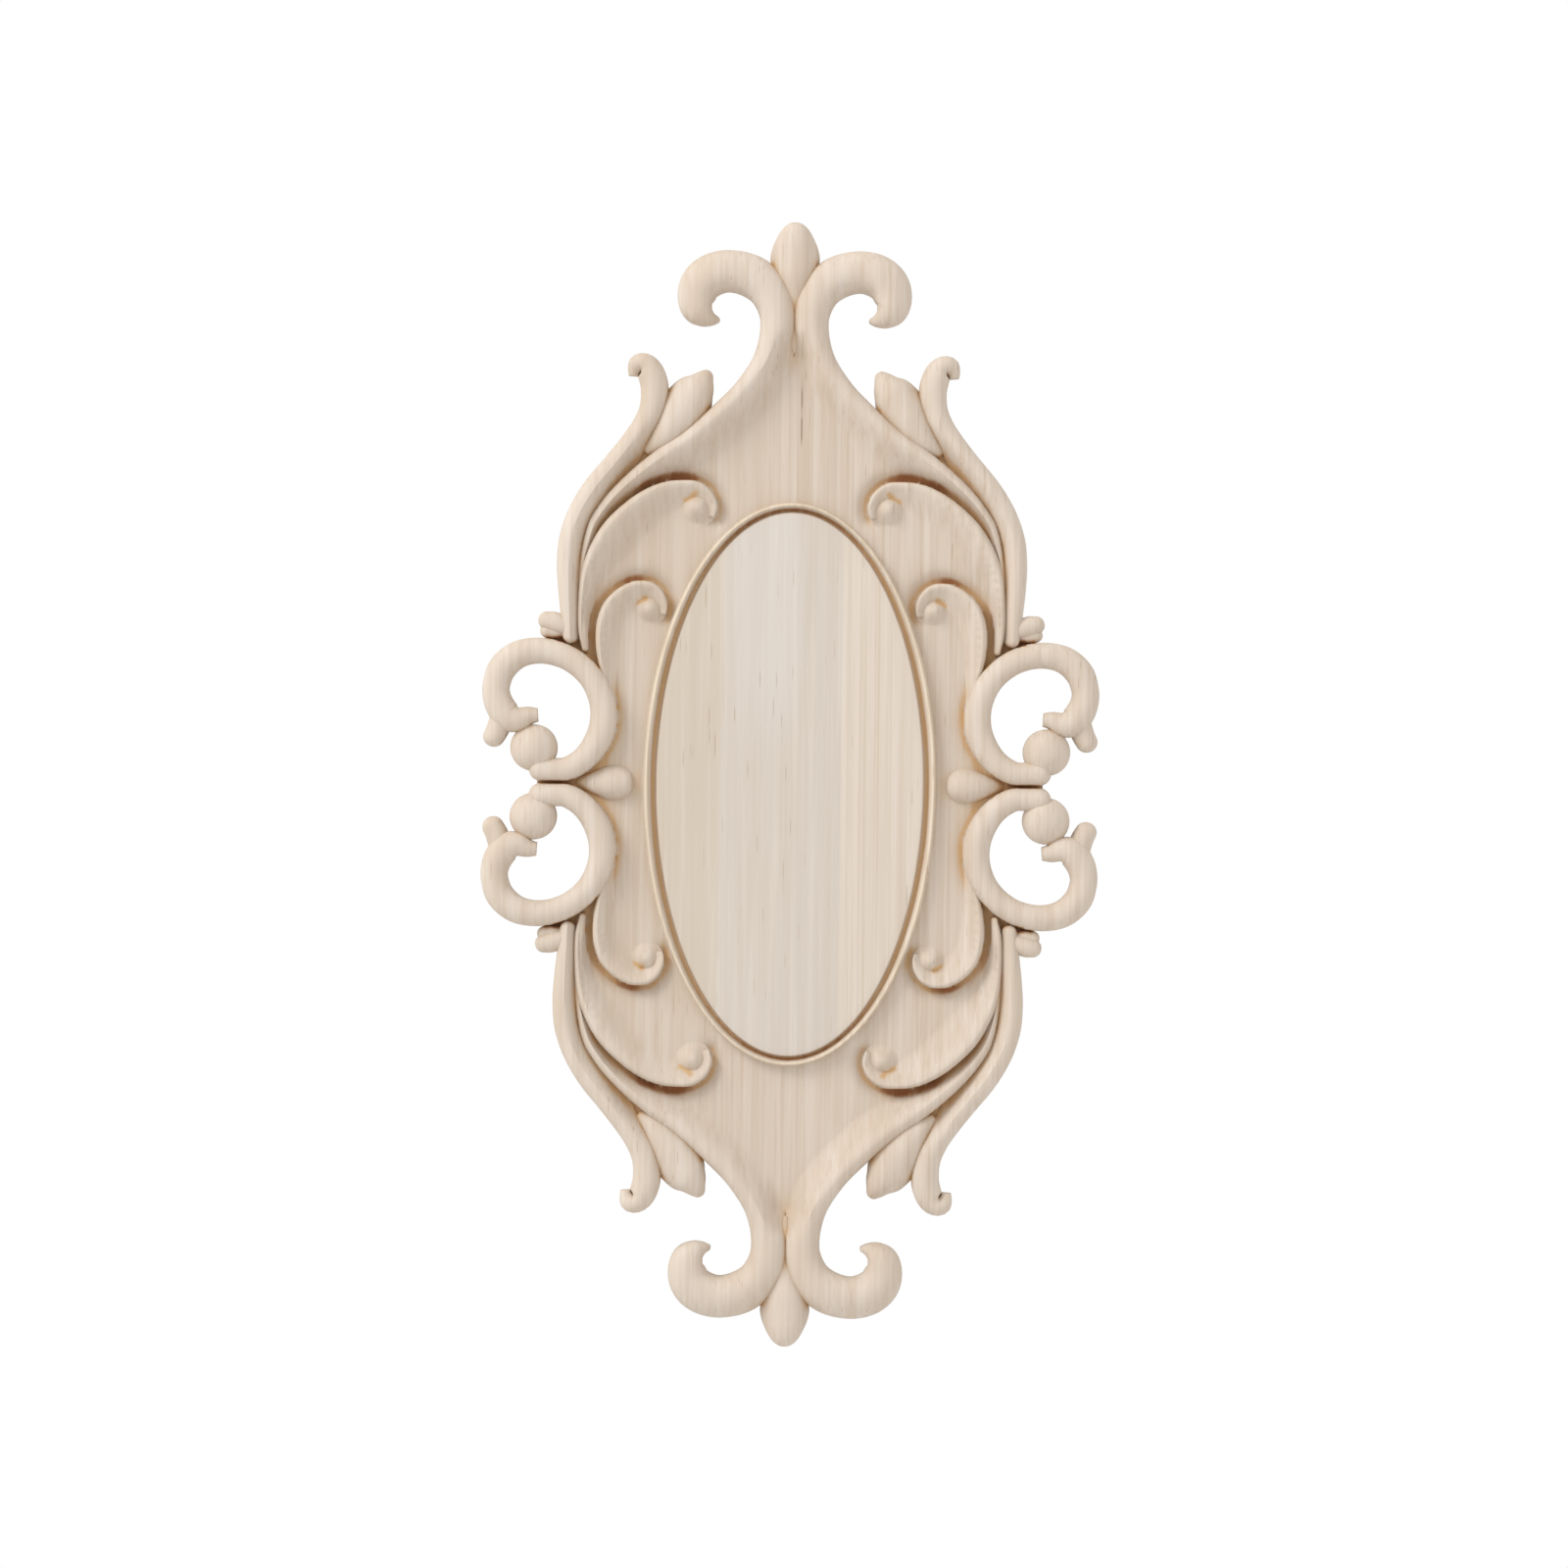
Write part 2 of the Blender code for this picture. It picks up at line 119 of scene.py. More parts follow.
# %% Scrolls, knobs and side pieces
UPPER_SCROLL = [
    (28.4, 95.2, 0.8), (27.9, 98.2, 1.2), (29.0, 101.4, 1.5), (31.0, 103.8, 1.7),
    (33.7, 105.3, 1.9), (37.0, 105.9, 2.0), (45.0, 104.9, 2.3), (51.0, 101.9, 2.9),
    (57.0, 97.3, 3.4), (64.2, 90.0, 3.6), (69.2, 82.0, 3.3), (72.4, 74.0, 2.7),
    (73.9, 64.0, 2.1), (74.0, 54.0, 1.8), (73.2, 47.5, 1.2),
]
LOWER_SCROLL = [
    (45.3, 60.4, 0.8), (45.2, 63.0, 1.1), (46.2, 65.9, 1.4), (48.1, 68.3, 1.6),
    (50.6, 69.7, 1.8), (53.6, 70.1, 1.9), (57.0, 69.3, 2.0), (61.8, 66.2, 2.2),
    (65.2, 61.5, 2.5), (66.9, 54.0, 2.7), (66.6, 44.0, 2.2), (64.8, 36.0, 1.4),
    (63.0, 29.0, 0.7),
]
SIDE_SCROLL = [
    (90.0, 23.9, 2.4), (93.0, 23.6, 3.2), (96.8, 22.3, 4.4), (100.4, 23.1, 5.2),
    (103.4, 26.9, 5.1), (104.8, 31.0, 4.8), (104.8, 34.6, 4.7), (102.9, 40.2, 4.9),
    (98.0, 44.8, 4.8), (92.0, 46.6, 4.6), (85.0, 46.2, 4.5), (77.8, 43.3, 4.4),
    (71.6, 38.0, 4.4), (67.8, 31.4, 4.6), (66.4, 24.0, 4.8), (67.8, 16.6, 4.8),
    (72.6, 9.2, 4.4), (79.0, 4.9, 4.2), (84.0, 4.5, 4.1), (88.6, 4.7, 4.3),
]
TAIL = [(102.8, 22.4, 4.2), (104.4, 18.2, 3.9), (105.7, 15.8, 3.7)]
SIDE_LEAF = [(77.4, 54.0, 2.0), (80.6, 55.4, 3.2), (84.4, 56.9, 3.7), (87.6, 57.6, 3.1)]
SIDE_LOBE = [(80.0, 53.6, 1.9), (84.0, 53.7, 2.6), (86.9, 53.9, 2.6)]
TEARDROP = [(61.8, 0.0, 6.4), (64.8, 0.0, 6.2), (68.6, 0.0, 4.8), (73.0, 0.0, 2.8), (78.0, 0.0, 0.7)]
SIDE_BALL = (91.2, 12.2, 8.3)
UPPER_KNOB = (33.9, 98.2, 7.0)
LOWER_KNOB = (50.6, 62.2, 6.2)
print("the side scroll is drawn with", len(SIDE_SCROLL), "points")

# %% [markdown]
# The field is the outline of the ground. It runs under the outer strands, which hide its edge,
# and a little past both middle planes, where the quarter is cut later.

# %% Field
FIELD = [
    (-4.0, -4.0), (-4.0, 168.0), (5.5, 163.0), (9.0, 150.0), (17.0, 139.6), (36.0, 124.0),
    (46.0, 127.0), (54.0, 126.0), (64.4, 113.6), (75.4, 96.0), (78.8, 82.0), (78.4, 61.0),
    (84.0, 57.0), (87.0, 54.0), (87.0, 47.0), (78.0, 43.6), (71.6, 38.0), (66.6, 24.0),
    (72.8, 10.2), (79.0, 6.6), (90.0, 4.0), (90.0, -4.0),
]
print("the ground has", len(FIELD), "corners")

# %% [markdown]
# ## From a drawn line to a strand
#
# A strand is a round-backed rope of wood. It could be a curve object with a bevel, but a bevel
# keeps one shape of section, and here the section changes all the way: a wide strand stands as
# high as the board, a thin tip sinks almost to the ground. So each strand is lofted: a ring of
# points is set across the line at every station and the rings are joined up. The stations come
# from a Bezier curve through the drawn points.

# %% Smooth lines
STATION_SPACING = 0.9
# Stations of a round end, the steepest taper it carries on, and the angle of its last one.
END_STATIONS = 9
STEEPEST_TAPER = math.radians(70)
LAST_ANGLE = math.radians(84)


def step_at(line, i):
    """The step from the station before i to the one after it."""
    return line[min(i + 1, len(line) - 1)] - line[max(i - 1, 0)]


def smooth_line(points, spacing=STATION_SPACING):
    """Stations (across, up, half width) about every `spacing` mm on a curve through the points."""
    knots = [Vector(point) for point in points]
    slopes = [step_at(knots, i).normalized() for i in range(len(knots))]
    line = [knots[0]]
    for i in range(len(knots) - 1):
        gap = (knots[i + 1] - knots[i]).length
        steps = max(2, round(gap / spacing))
        handles = (knots[i] + slopes[i] * gap / 3, knots[i + 1] - slopes[i + 1] * gap / 3)
        line += interpolate_bezier(knots[i], *handles, knots[i + 1], steps + 1)[1:]
    return line


def round_off(line):
    """More stations past the last one, on a circle that carries on the taper, for a round end."""
    last, gap = line[-1], line[-1] - line[-2]
    along = gap.to_2d().normalized()
    taper = min(max(math.atan2(-gap.z, gap.to_2d().length), 0), STEEPEST_TAPER)
    radius = last.z / math.cos(taper)
    added = []
    for angle in np.linspace(taper, LAST_ANGLE, END_STATIONS)[1:]:
        place = last.to_2d() + along * radius * (math.sin(angle) - math.sin(taper))
        added.append(Vector((*place, radius * math.cos(angle))))
    return added


crest_line = smooth_line(CREST)
print("the crest strand has", len(crest_line), "stations over", len(CREST), "drawn points")

# %% [markdown]
# Where a line bends more tightly than the strand is wide, the rings would cross on the inside
# of the bend and the solid would be inside out there. Two things stop that: the inner edge never
# reaches past the middle of the bend, and an edge that would step backwards waits where it is.

# %% Edges of a strand
# A strand that ends wider than the tip, in mm, gets a round end.
TIP = 0.8
# How much of the way to the middle of a bend the inner edge may go.
BEND_REACH = 0.92
# Smaller turns, in radians, count as straight. Edges step on by at least this, in mm.
LEAST_TURN = 0.001
LEAST_STEP = 0.02
NO_LIMIT = 1000.0


def bend_limits(line, i, reach=6):
    """How far the edges can stand off station i, left and right, within the middle of the bend."""
    here = line[i]
    before, after = line[max(i - reach, 0)], line[min(i + reach, len(line) - 1)]
    entry, leave = (here - before).to_2d(), (after - here).to_2d()
    limits = [NO_LIMIT, NO_LIMIT]
    if entry.length and leave.length:
        turn = entry.angle_signed(leave)
        if abs(turn) > LEAST_TURN:
            bend_radius = (entry.length + leave.length) / 2 / abs(turn)
            limits[1 if turn > 0 else 0] = BEND_REACH * bend_radius
    return limits


def stations(points, blunt_start=False, slope=((0, 0),)):
    """(left edge, right edge, foot of the slope, half width) along a strand."""
    line = smooth_line(points)
    if line[-1].z > TIP:
        line += round_off(line)
    if line[0].z > TIP and not blunt_start:
        line = round_off(line[::-1])[::-1] + line
    kept = []
    for i in range(len(line)):
        here, half_width = line[i].to_2d(), line[i].z
        step = step_at(line, i).to_2d().normalized()
        side = Vector((step.y, -step.x))
        left, right = bend_limits(line, i)
        width = np.interp(i / (len(line) - 1), *zip(*slope))
        edges = [
            here - side * min(half_width, left),
            here + side * min(half_width, right),
            here + side * min(half_width + width, right),
        ]
        if kept:
            along = (line[i] - line[i - 1]).to_2d().normalized()
            for k in range(3):
                if (edges[k] - kept[-1][k]).dot(along) < LEAST_STEP:
                    edges[k] = kept[-1][k] + along * LEAST_STEP
        kept.append((*edges, half_width))
    return kept


print("the crest strand keeps", len(stations(CREST)), "rings")

# %% [markdown]
# Two rules shape everything from here on. The height of a strand follows its width, so that no
# heights have to be drawn: it climbs quickly while the strand is thin and then levels out at the
# face of the board. And the wood is cut deeper in front of a steep wall. Those pockets on the
# outer side of each scroll are where the cutter stood longest, and later they get the scorch.

# %% Heights and pockets
# A small fullness makes thin strands high. At the widest half width, in mm, they reach the face.
FULLNESS = 3.2
WIDEST = 7.5
# Depth in mm of the pockets, and how far from the strand they reach.
DEEP, SHALLOW = 2.4, 0.5
POCKET_REACH = 3.4
# Spacing in mm of the stations that are searched, and the least distance that is divided by.
FOOT_SPACING = 1.2
NEAREST = 0.001


def crown_of(half_width):
    """Thickness of the wood in mm at the crown of a strand of this half width."""
    share = (1 - np.exp(-half_width / FULLNESS)) / (1 - math.exp(-WIDEST / FULLNESS))
    return GROUND + (BOARD - GROUND) * np.minimum(share, 1.0)


def foot_of(points, left, right):
    """Stations of a strand, their side directions, and the dip in mm on its left and right."""
    line = smooth_line(points, FOOT_SPACING)
    sides = []
    for i in range(len(line)):
        along = step_at(line, i).to_2d().normalized()
        sides.append((along.y, -along.x))
    return np.array(line), np.array(sides), left, right


feet = [
    foot_of(CREST, SHALLOW, 0),
    foot_of(FLANK, SHALLOW, 0),
    foot_of(UPPER_SCROLL, DEEP, 0),
    foot_of(LOWER_SCROLL, DEEP, 0),
    foot_of(SIDE_SCROLL, 0, SHALLOW),
]


def pocket_depth(places):
    """How much deeper in mm the wood is cut at each place (across, up)."""
    depth = np.zeros(len(places))
    rows = np.arange(len(places))
    for line, sides, left, right in feet:
        gaps = places[:, None] - line[None, :, :2]
        apart = np.maximum(np.hypot(gaps[..., 0], gaps[..., 1]), NEAREST)
        nearest = np.argmin(apart - line[None, :, 2], axis=1)
        away = np.clip((apart - line[None, :, 2])[rows, nearest], 0, None)
        turn = (gaps[rows, nearest] * sides[nearest]).sum(1) / apart[rows, nearest]
        dip = left + (right - left) * (turn + 1) / 2
        depth = np.maximum(depth, dip * np.exp(-(away / POCKET_REACH) ** 2))
    return depth


heights = [round(float(crown_of(half_width)), 1) for half_width in (1, 3, 6)]
print("a half width of 1, 3 and 6 mm stands", heights, "mm thick")

# %% [markdown]
# The section itself has upright sides that turn over into a half round. On the inner side of the
# crest and of the scrolls there is no second wall: from the crown the surface falls away in one
# long slope to the ground. That slope is lofted with the strand, so that no join shows in it.

# %% Loft a strand
# Steps in each half of a section.
SECTION = 7
# Every piece starts this far, in mm, behind the back plane.
BEHIND = 2.0
# Depth of the rounding, as a share of the half width.
ROUNDING = 0.95
# A slope ends this far, in mm, under the ground. Below one, its curve is steeper near the crown.
SUNK = 0.3
SLOPE_CURVE = 0.75
# Width in mm from which a slope takes the place of the round side.
FULL_SLOPE = 3


def add_mesh(name, points, faces):
    """Make an object of sheet points (across, up, thickness) in mm and faces, facing outwards."""
    places = np.column_stack([points[:, 0] * ACROSS, -points[:, 2] * 0.001, points[:, 1] * UP])
    mesh = bpy.data.meshes.new(name)
    mesh.from_pydata(places.tolist(), [], faces)
    builder = bmesh.new()
    builder.from_mesh(mesh)
    bmesh.ops.recalc_face_normals(builder, faces=builder.faces)
    builder.to_mesh(mesh)
    builder.free()
    piece = bpy.data.objects.new(name, mesh)
    bpy.context.scene.collection.objects.link(piece)
    return piece


def solid_from_rings(name, rings, fan=True):
    """A closed mesh of equal rings of (across, up, thickness) in mm, with its two ends filled."""
    rings = np.array(rings, dtype=float)
    count, around = rings.shape[:2]
    points = rings.reshape(-1, 3)
    faces = []
    for i in range(count - 1):
        here, following = i * around, (i + 1) * around
        for k in range(around):
            j = (k + 1) % around
            faces.append((here + k, here + j, following + j, following + k))
    for first in (0, (count - 1) * around):
        loop = list(range(first, first + around))
        if not fan:
            faces.append(tuple(loop))
            continue
        points = np.vstack([points, points[loop].mean(0)])
        faces += [(loop[k], loop[(k + 1) % around], len(points) - 1) for k in range(around)]
    return add_mesh(name, points, faces)


def add_strand(name, points, lift=0.0, blunt_start=False, lean=0.0, slope=((0, 0),)):
    """A carved strand, raised by the lift in mm, with its crown line moved by the lean to the right.

    Slope holds (share of the way along, width in mm) of a long fall from the crown to the ground
    on the right-hand side. Without it the strand is round on both sides.
    """
    rings = []
    for left, right, foot, half_width in stations(points, blunt_start, slope):
        crown = crown_of(half_width) + lift
        shoulder = crown - ROUNDING * half_width
        top = (left + right) / 2 + (right - left) / 2 * lean
        sloping = min((foot - right).length / FULL_SLOPE, 1)
        ring = []
        for angle in np.linspace(0, math.pi / 2, SECTION + 1):
            place = left + (top - left) * (1 - math.cos(angle))
            ring.append((*place, shoulder + (crown - shoulder) * math.sin(angle)))
        for share in np.linspace(0, 1, SECTION + 1)[1:]:
            angle = math.pi / 2 * share
            round_place = top + (right - top) * math.sin(angle)
            round_fall = (crown - shoulder) * (1 - math.cos(angle))
            slope_place = top + (foot - top) * share
            slope_share = (1 - math.cos(math.pi * share ** SLOPE_CURVE)) / 2
            slope_fall = (crown - GROUND + SUNK) * slope_share
            slope_fall += pocket_depth(np.array([slope_place]))[0]
            place = round_place.lerp(slope_place, sloping)
            ring.append((*place, crown - round_fall - (slope_fall - round_fall) * sloping))
        ring.append((*ring[-1][:2], -BEHIND))
        ring.append((*ring[0][:2], -BEHIND))
        rings.append(ring)
    return solid_from_rings(name, rings)


print("each ring has", 2 * SECTION + 3, "points")

# %% [markdown]
# ## Knobs
#
# The balls at the sides are domes on an upright wall. The knobs in the scrolls' heads are soft
# and swell out of the ground like a bell. Both could come from a sphere primitive, but rings
# keep the wall and the dome one clean surface.

# %% Knobs
# A high power keeps the top of a ball flat and drops its rim late.
BALL_CURVE = 2.4
KNOB_SHARES = np.linspace(1, 0.04, 16)
KNOB_SIDES = 64


def stack_ellipses(name, x, z, levels, sides):
    """A solid of ellipses (half width, half height, thickness) stacked round a middle."""
    turns = (np.arange(sides) + 0.5) * math.tau / sides
    rings = [[(x + a * math.cos(t), z + b * math.sin(t), y) for t in turns] for a, b, y in levels]
    return solid_from_rings(name, rings)


def add_knob(name, knob, top, drop, soft=False):
    """A domed knob, this thick in mm at its middle and thinner by the drop at its rim."""
    x, z, radius = knob
    levels = [(radius, radius, -BEHIND)]
    for share in KNOB_SHARES:
        fall = (1 - math.cos(math.pi * share)) / 2 if soft else share ** BALL_CURVE
        levels.append((radius * share, radius * share, top - drop * fall))
    return stack_ellipses(name, x, z, levels, KNOB_SIDES)


print("a knob has", len(KNOB_SHARES) + 1, "rings")

# %% [markdown]
# ## The oval
#
# The oval is stacked from ellipses in the same way, going inwards: a narrow bead, the round
# groove of a router bit, a steep wall, and the panel, which rises very slightly to its middle.
# Bead and groove are narrower at the oval's top and bottom than at its sides.

# %% Oval
OVAL_WIDTH, OVAL_HEIGHT = 104.8, 200.6
OVAL_SIDES = 360
NARROWER_AT_TOP = 0.75
BEAD_WIDTH, BEAD_TOP, BEAD_FULLNESS = 2.7, 10.2, 0.7
# The groove is lowest at this share of its width, and its inner side climbs by the wall, in mm.
GROOVE_WIDTH, GROOVE_FLOOR, GROOVE_LOWEST, GROOVE_WALL = 2.2, 6.3, 0.45, 1.7
PANEL_TOP, PANEL_RISE, PANEL_ROUND = 8.8, 0.8, 0.7
# Where the ellipses stand on each part of the profile, as shares of that part's width.
BEAD_SHARES = np.linspace(0.1, 1, 8)
GROOVE_SHARES = np.linspace(0.12, 1, 9)
WALL_SHARES = (0.3, 0.6, 0.85)
CORNER_ANGLES = np.radians((0, 25, 50, 70, 90))
PANEL_SHARES = np.linspace(0.06, 0.97, 12)


def oval_profile():
    """(distance in from the oval's edge, thickness) from the outside of the bead to the middle."""
    levels = [(0.0, -BEHIND), (0.0, GROUND - SUNK)]
    crown = BEAD_WIDTH / 2
    for share in BEAD_SHARES:
        climb = math.sin(math.pi / 2 * share) ** BEAD_FULLNESS
        levels.append((crown * share, GROUND + (BEAD_TOP - GROUND) * climb))
    bottom = BEAD_WIDTH + GROOVE_WIDTH * GROOVE_LOWEST
    for share in GROOVE_SHARES:
        fall = (1 - math.cos(math.pi * share)) / 2
        levels.append((crown + (bottom - crown) * share, BEAD_TOP - (BEAD_TOP - GROOVE_FLOOR) * fall))
    inner = BEAD_WIDTH + GROOVE_WIDTH
    for share in WALL_SHARES:
        levels.append((bottom + (inner - bottom) * share, GROOVE_FLOOR + GROOVE_WALL * share ** 3))
    for angle in CORNER_ANGLES:
        inwards = inner + PANEL_ROUND * (1 - math.cos(angle))
        levels.append((inwards, PANEL_TOP - PANEL_ROUND * (1 - math.sin(angle))))
    edge = inner + PANEL_ROUND
    for share in PANEL_SHARES:
        inwards = edge + (OVAL_WIDTH / 2 - edge) * share
        levels.append((inwards, PANEL_TOP + PANEL_RISE * (1 - (1 - share) ** 2)))
    return levels


def add_oval(name, profile):
    """A solid with this profile of (distance in from the oval's edge, thickness)."""
    levels = []
    for inset, y in profile:
        levels.append((OVAL_WIDTH / 2 - inset, OVAL_HEIGHT / 2 - inset * NARROWER_AT_TOP, y))
    return stack_ellipses(name, 0.0, 0.0, levels, OVAL_SIDES)


print("the oval's profile has", len(oval_profile()), "steps")

# %% [markdown]
# ## The ground
#
# The ground is the lowered field between the strands. A flat plate would look machine made, so
# its face is cut into small squares and the corners sink by the same pocket rule. A list of
# pockets is easier to correct than a sculpted surface.

# %% Ground
def add_ground(name, outline, cell=0.9):
    """A plate with this outline whose face is cut in squares and scooped."""
    builder = bmesh.new()
    builder.faces.new([builder.verts.new((x, 0.0, z)) for x, z in outline])
    corners = np.array(outline)
    for axis, normal in ((0, (1, 0, 0)), (1, (0, 0, 1))):
        for cut in np.arange(corners[:, axis].min() + cell / 2, corners[:, axis].max(), cell):
            everything = builder.verts[:] + builder.edges[:] + builder.faces[:]
            middle = [n * cut for n in normal]
            bmesh.ops.bisect_plane(builder, geom=everything, plane_co=middle, plane_no=normal)
    builder.verts.index_update()
    flat = np.array([(corner.co.x, corner.co.z) for corner in builder.verts])
    faces = [tuple(corner.index for corner in face.verts) for face in builder.faces]
    rim_edges = [edge for edge in builder.edges if edge.is_boundary]
    rim = [tuple(corner.index for corner in edge.verts) for edge in rim_edges]
    builder.free()
    count = len(flat)
    face_side = np.column_stack([flat, GROUND - pocket_depth(np.abs(flat))])
    back_side = np.column_stack([flat, np.full(count, -BEHIND)])
    faces += [tuple(i + count for i in reversed(face)) for face in faces]
    faces += [(a, b, b + count, a + count) for a, b in rim]
    return add_mesh(name, np.vstack([face_side, back_side]), faces)


ground = add_ground("ground", FIELD)
print("the ground has", len(ground.data.polygons), "faces")

# %% [markdown]
# ## Carving the pieces
#
# A slope is a list of (share of the way along, width in mm). Leaves, bud and tail lie a little
# lower than their width says. The scrolls' crowns lean outwards, which makes the outer wall
# steep and the inner side long.

# %% Strands and knobs
CREST_SLOPE = (
    (0, 0), (0.36, 0), (0.45, 6.0), (0.6, 7.5), (0.68, 6.0), (0.8, 3.5), (0.9, 1.5), (1, 0.5),
)
FLANK_SLOPE = ((0, 0), (0.22, 0), (0.36, 2.5), (0.5, 1.6), (0.7, 1.2), (1, 0.8))
UPPER_SLOPE = (
    (0, 0.4), (0.06, 3.0), (0.13, 5.0), (0.3, 9.0), (0.55, 9.0), (0.7, 4.5), (0.8, 1.8),
    (0.88, 0.4), (1, 0),
)
LOWER_SLOPE = ((0, 0.4), (0.08, 2.5), (0.2, 5.0), (0.42, 7.5), (1, 0.8))
CREST_LEAN, SCROLL_LEAN = -0.1, -0.35
BUD_LIFT, LEAF_LIFT, TAIL_LIFT = -1.2, -1.2, -1.2
SIDE_LEAF_LIFT, SIDE_LOBE_LIFT = -1.0, -1.4
TEARDROP_LIFT, WEB_LIFT = -3.6, -0.5
# Thickness in mm at the top of each knob, and how much thinner its rim is.
SIDE_BALL_TOP, SIDE_BALL_DROP = 14.9, 5.0
UPPER_KNOB_TOP, UPPER_KNOB_DROP = 10.2, 4.0
LOWER_KNOB_TOP, LOWER_KNOB_DROP = 9.9, 3.7

strands = [
    add_strand("bud", BUD, lift=BUD_LIFT),
    add_strand("leaf", LEAF, lift=LEAF_LIFT),
    add_strand("side_leaf", SIDE_LEAF, lift=SIDE_LEAF_LIFT),
    add_strand("side_lobe", SIDE_LOBE, lift=SIDE_LOBE_LIFT),
    add_strand("tail", TAIL, lift=TAIL_LIFT),
    add_strand("flank", FLANK, blunt_start=True, slope=FLANK_SLOPE),
    add_strand("crest", CREST, lean=CREST_LEAN, slope=CREST_SLOPE),
    add_strand("upper_scroll", UPPER_SCROLL, lean=SCROLL_LEAN, slope=UPPER_SLOPE),
    add_strand("lower_scroll", LOWER_SCROLL, lean=SCROLL_LEAN, slope=LOWER_SLOPE),
    add_strand("side_scroll", SIDE_SCROLL, blunt_start=True),
    add_strand("teardrop", TEARDROP, lift=TEARDROP_LIFT),
    add_knob("side_ball", SIDE_BALL, SIDE_BALL_TOP, SIDE_BALL_DROP),
    add_knob("upper_knob", UPPER_KNOB, UPPER_KNOB_TOP, UPPER_KNOB_DROP, soft=True),
    add_knob("lower_knob", LOWER_KNOB, LOWER_KNOB_TOP, LOWER_KNOB_DROP, soft=True),
    add_strand("crest_web", CREST_WEB, lift=WEB_LIFT),
]
print(len(strands), "pieces stand on the ground")

# %% [markdown]
# ## Joining the quarter
#
# All of this is one piece of wood, so the strands may not just overlap like loose ropes. Boolean
# unions turn them into one skin, and the crease where two strands meet is then a true edge.
# The exact solver would do it too, but the manifold solver takes seconds and every
# operand here is closed. The oval's place is bored out first, so that its groove stays open.

# %% Join the quarter
# The bore is smaller than the oval by this much, in mm, so that the two overlap.
BORE_INSET = 0.2
QUARTER_WIDTH, QUARTER_HEIGHT = 150.0, 250.0


def combine(target, tool, operation):
    """Join the tool to the target, or cut with it, and remove the tool."""
    modifier = target.modifiers.new(operation, "BOOLEAN")
    modifier.operation = operation
    modifier.solver = "MANIFOLD"
    modifier.object = tool
    graph = bpy.context.evaluated_depsgraph_get()
    mesh = bpy.data.meshes.new_from_object(target.evaluated_get(graph), depsgraph=graph)
    target.modifiers.clear()
    target.data = mesh
    bpy.data.objects.remove(tool)


for strand in strands:
    combine(ground, strand, "UNION")
bore = add_oval("bore", [(BORE_INSET, -2 * BEHIND), (BORE_INSET, 2 * BOARD)])
combine(ground, bore, "DIFFERENCE")
combine(ground, add_oval("oval", oval_profile()), "UNION")
quarter_corners = [(0.0, 0.0), (QUARTER_WIDTH, 0.0), (QUARTER_WIDTH, QUARTER_HEIGHT), (0.0, QUARTER_HEIGHT)]
quarter_rings = [[(x, z, y) for x, z in quarter_corners] for y in (0.0, 2 * BOARD)]
combine(ground, solid_from_rings("quarter", quarter_rings, fan=False), "INTERSECT")
print("one quarter has", len(ground.data.polygons), "faces")

# %% [markdown]
# ## Four quarters
#
# The quarter's two flat sides lie on the middle planes. They are taken away and a Mirror
# modifier repeats the rest across both planes, welding the seam.

# %% Mirror the quarter
# Corners closer than this, in metres, to a middle plane or to each other are welded.
SEAM = 0.00002
builder = bmesh.new()
builder.from_mesh(ground.data)
for axis in (0, 2):
    for corner in builder.verts:
        if abs(corner.co[axis]) < SEAM:
            corner.co[axis] = 0.0
    flat_side = [face for face in builder.faces if all(corner.co[axis] == 0.0 for corner in face.verts)]
    bmesh.ops.delete(builder, geom=flat_side, context="FACES")
bmesh.ops.remove_doubles(builder, verts=builder.verts, dist=SEAM)
bmesh.ops.triangulate(builder, faces=builder.faces)
builder.to_mesh(ground.data)
builder.free()
mirror = ground.modifiers.new("quarters", "MIRROR")
mirror.use_axis = (True, False, True)
mirror.merge_threshold = SEAM
graph = bpy.context.evaluated_depsgraph_get()
whole = bpy.data.meshes.new_from_object(ground.evaluated_get(graph), depsgraph=graph)
carving = bpy.data.objects.new("carving", whole)
bpy.context.scene.collection.objects.link(carving)
bpy.data.objects.remove(ground)
print("the whole carving has", len(carving.data.polygons), "triangles")

# %% [markdown]
# The round backs should look smooth and the creases sharp. Bevels would cost many triangles and
# soften what the knife left crisp, so edges are only marked sharp by angle. Then the carving
# takes the plain solid's place.

# %% Smooth shading and place in the frame
SHARP_ANGLE = math.radians(38)
carving.data.shade_smooth()
carving.data.set_sharp_from_angle(angle=SHARP_ANGLE)
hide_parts(NODE)
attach(carving, "root")
print("the carving replaces", NODE)

# %% [markdown]
# ## Reading the relief
#
# The wood is darker in its hollows: tan along every valley is painted shade, where creases and bays
# lie in shadow, and scorched brown where a deep valley runs across the grain. Painting that by hand
# would be slow and could never be repeated. So the carving's own height is read on a fine grid by
# shooting rays at it. A blurred copy of that height minus the height itself tells how hollow each place is.

# %% Height grid
# Distance between rays and margin round the sheet, in mm, and the rays' start, in metres.
PITCH = 0.8
MARGIN = 4
RAY_START = -1.0
graph = bpy.context.evaluated_depsgraph_get()
tree = BVHTree.FromObject(carving, graph)
grid_across = np.arange(-SHEET_WIDTH / 2 - MARGIN, SHEET_WIDTH / 2 + MARGIN, PITCH)
grid_up = np.arange(-SHEET_HEIGHT / 2 - MARGIN, SHEET_HEIGHT / 2 + MARGIN, PITCH)
height = np.zeros((len(grid_up), len(grid_across)))
for row, z in enumerate(grid_up):
    for column, x in enumerate(grid_across):
        hit = tree.ray_cast(Vector((x * ACROSS, RAY_START, z * UP)), Vector((0, 1, 0)))[0]
        if hit:
            height[row, column] = -hit.y * 1000
wood_there = (height > 0).astype(float)
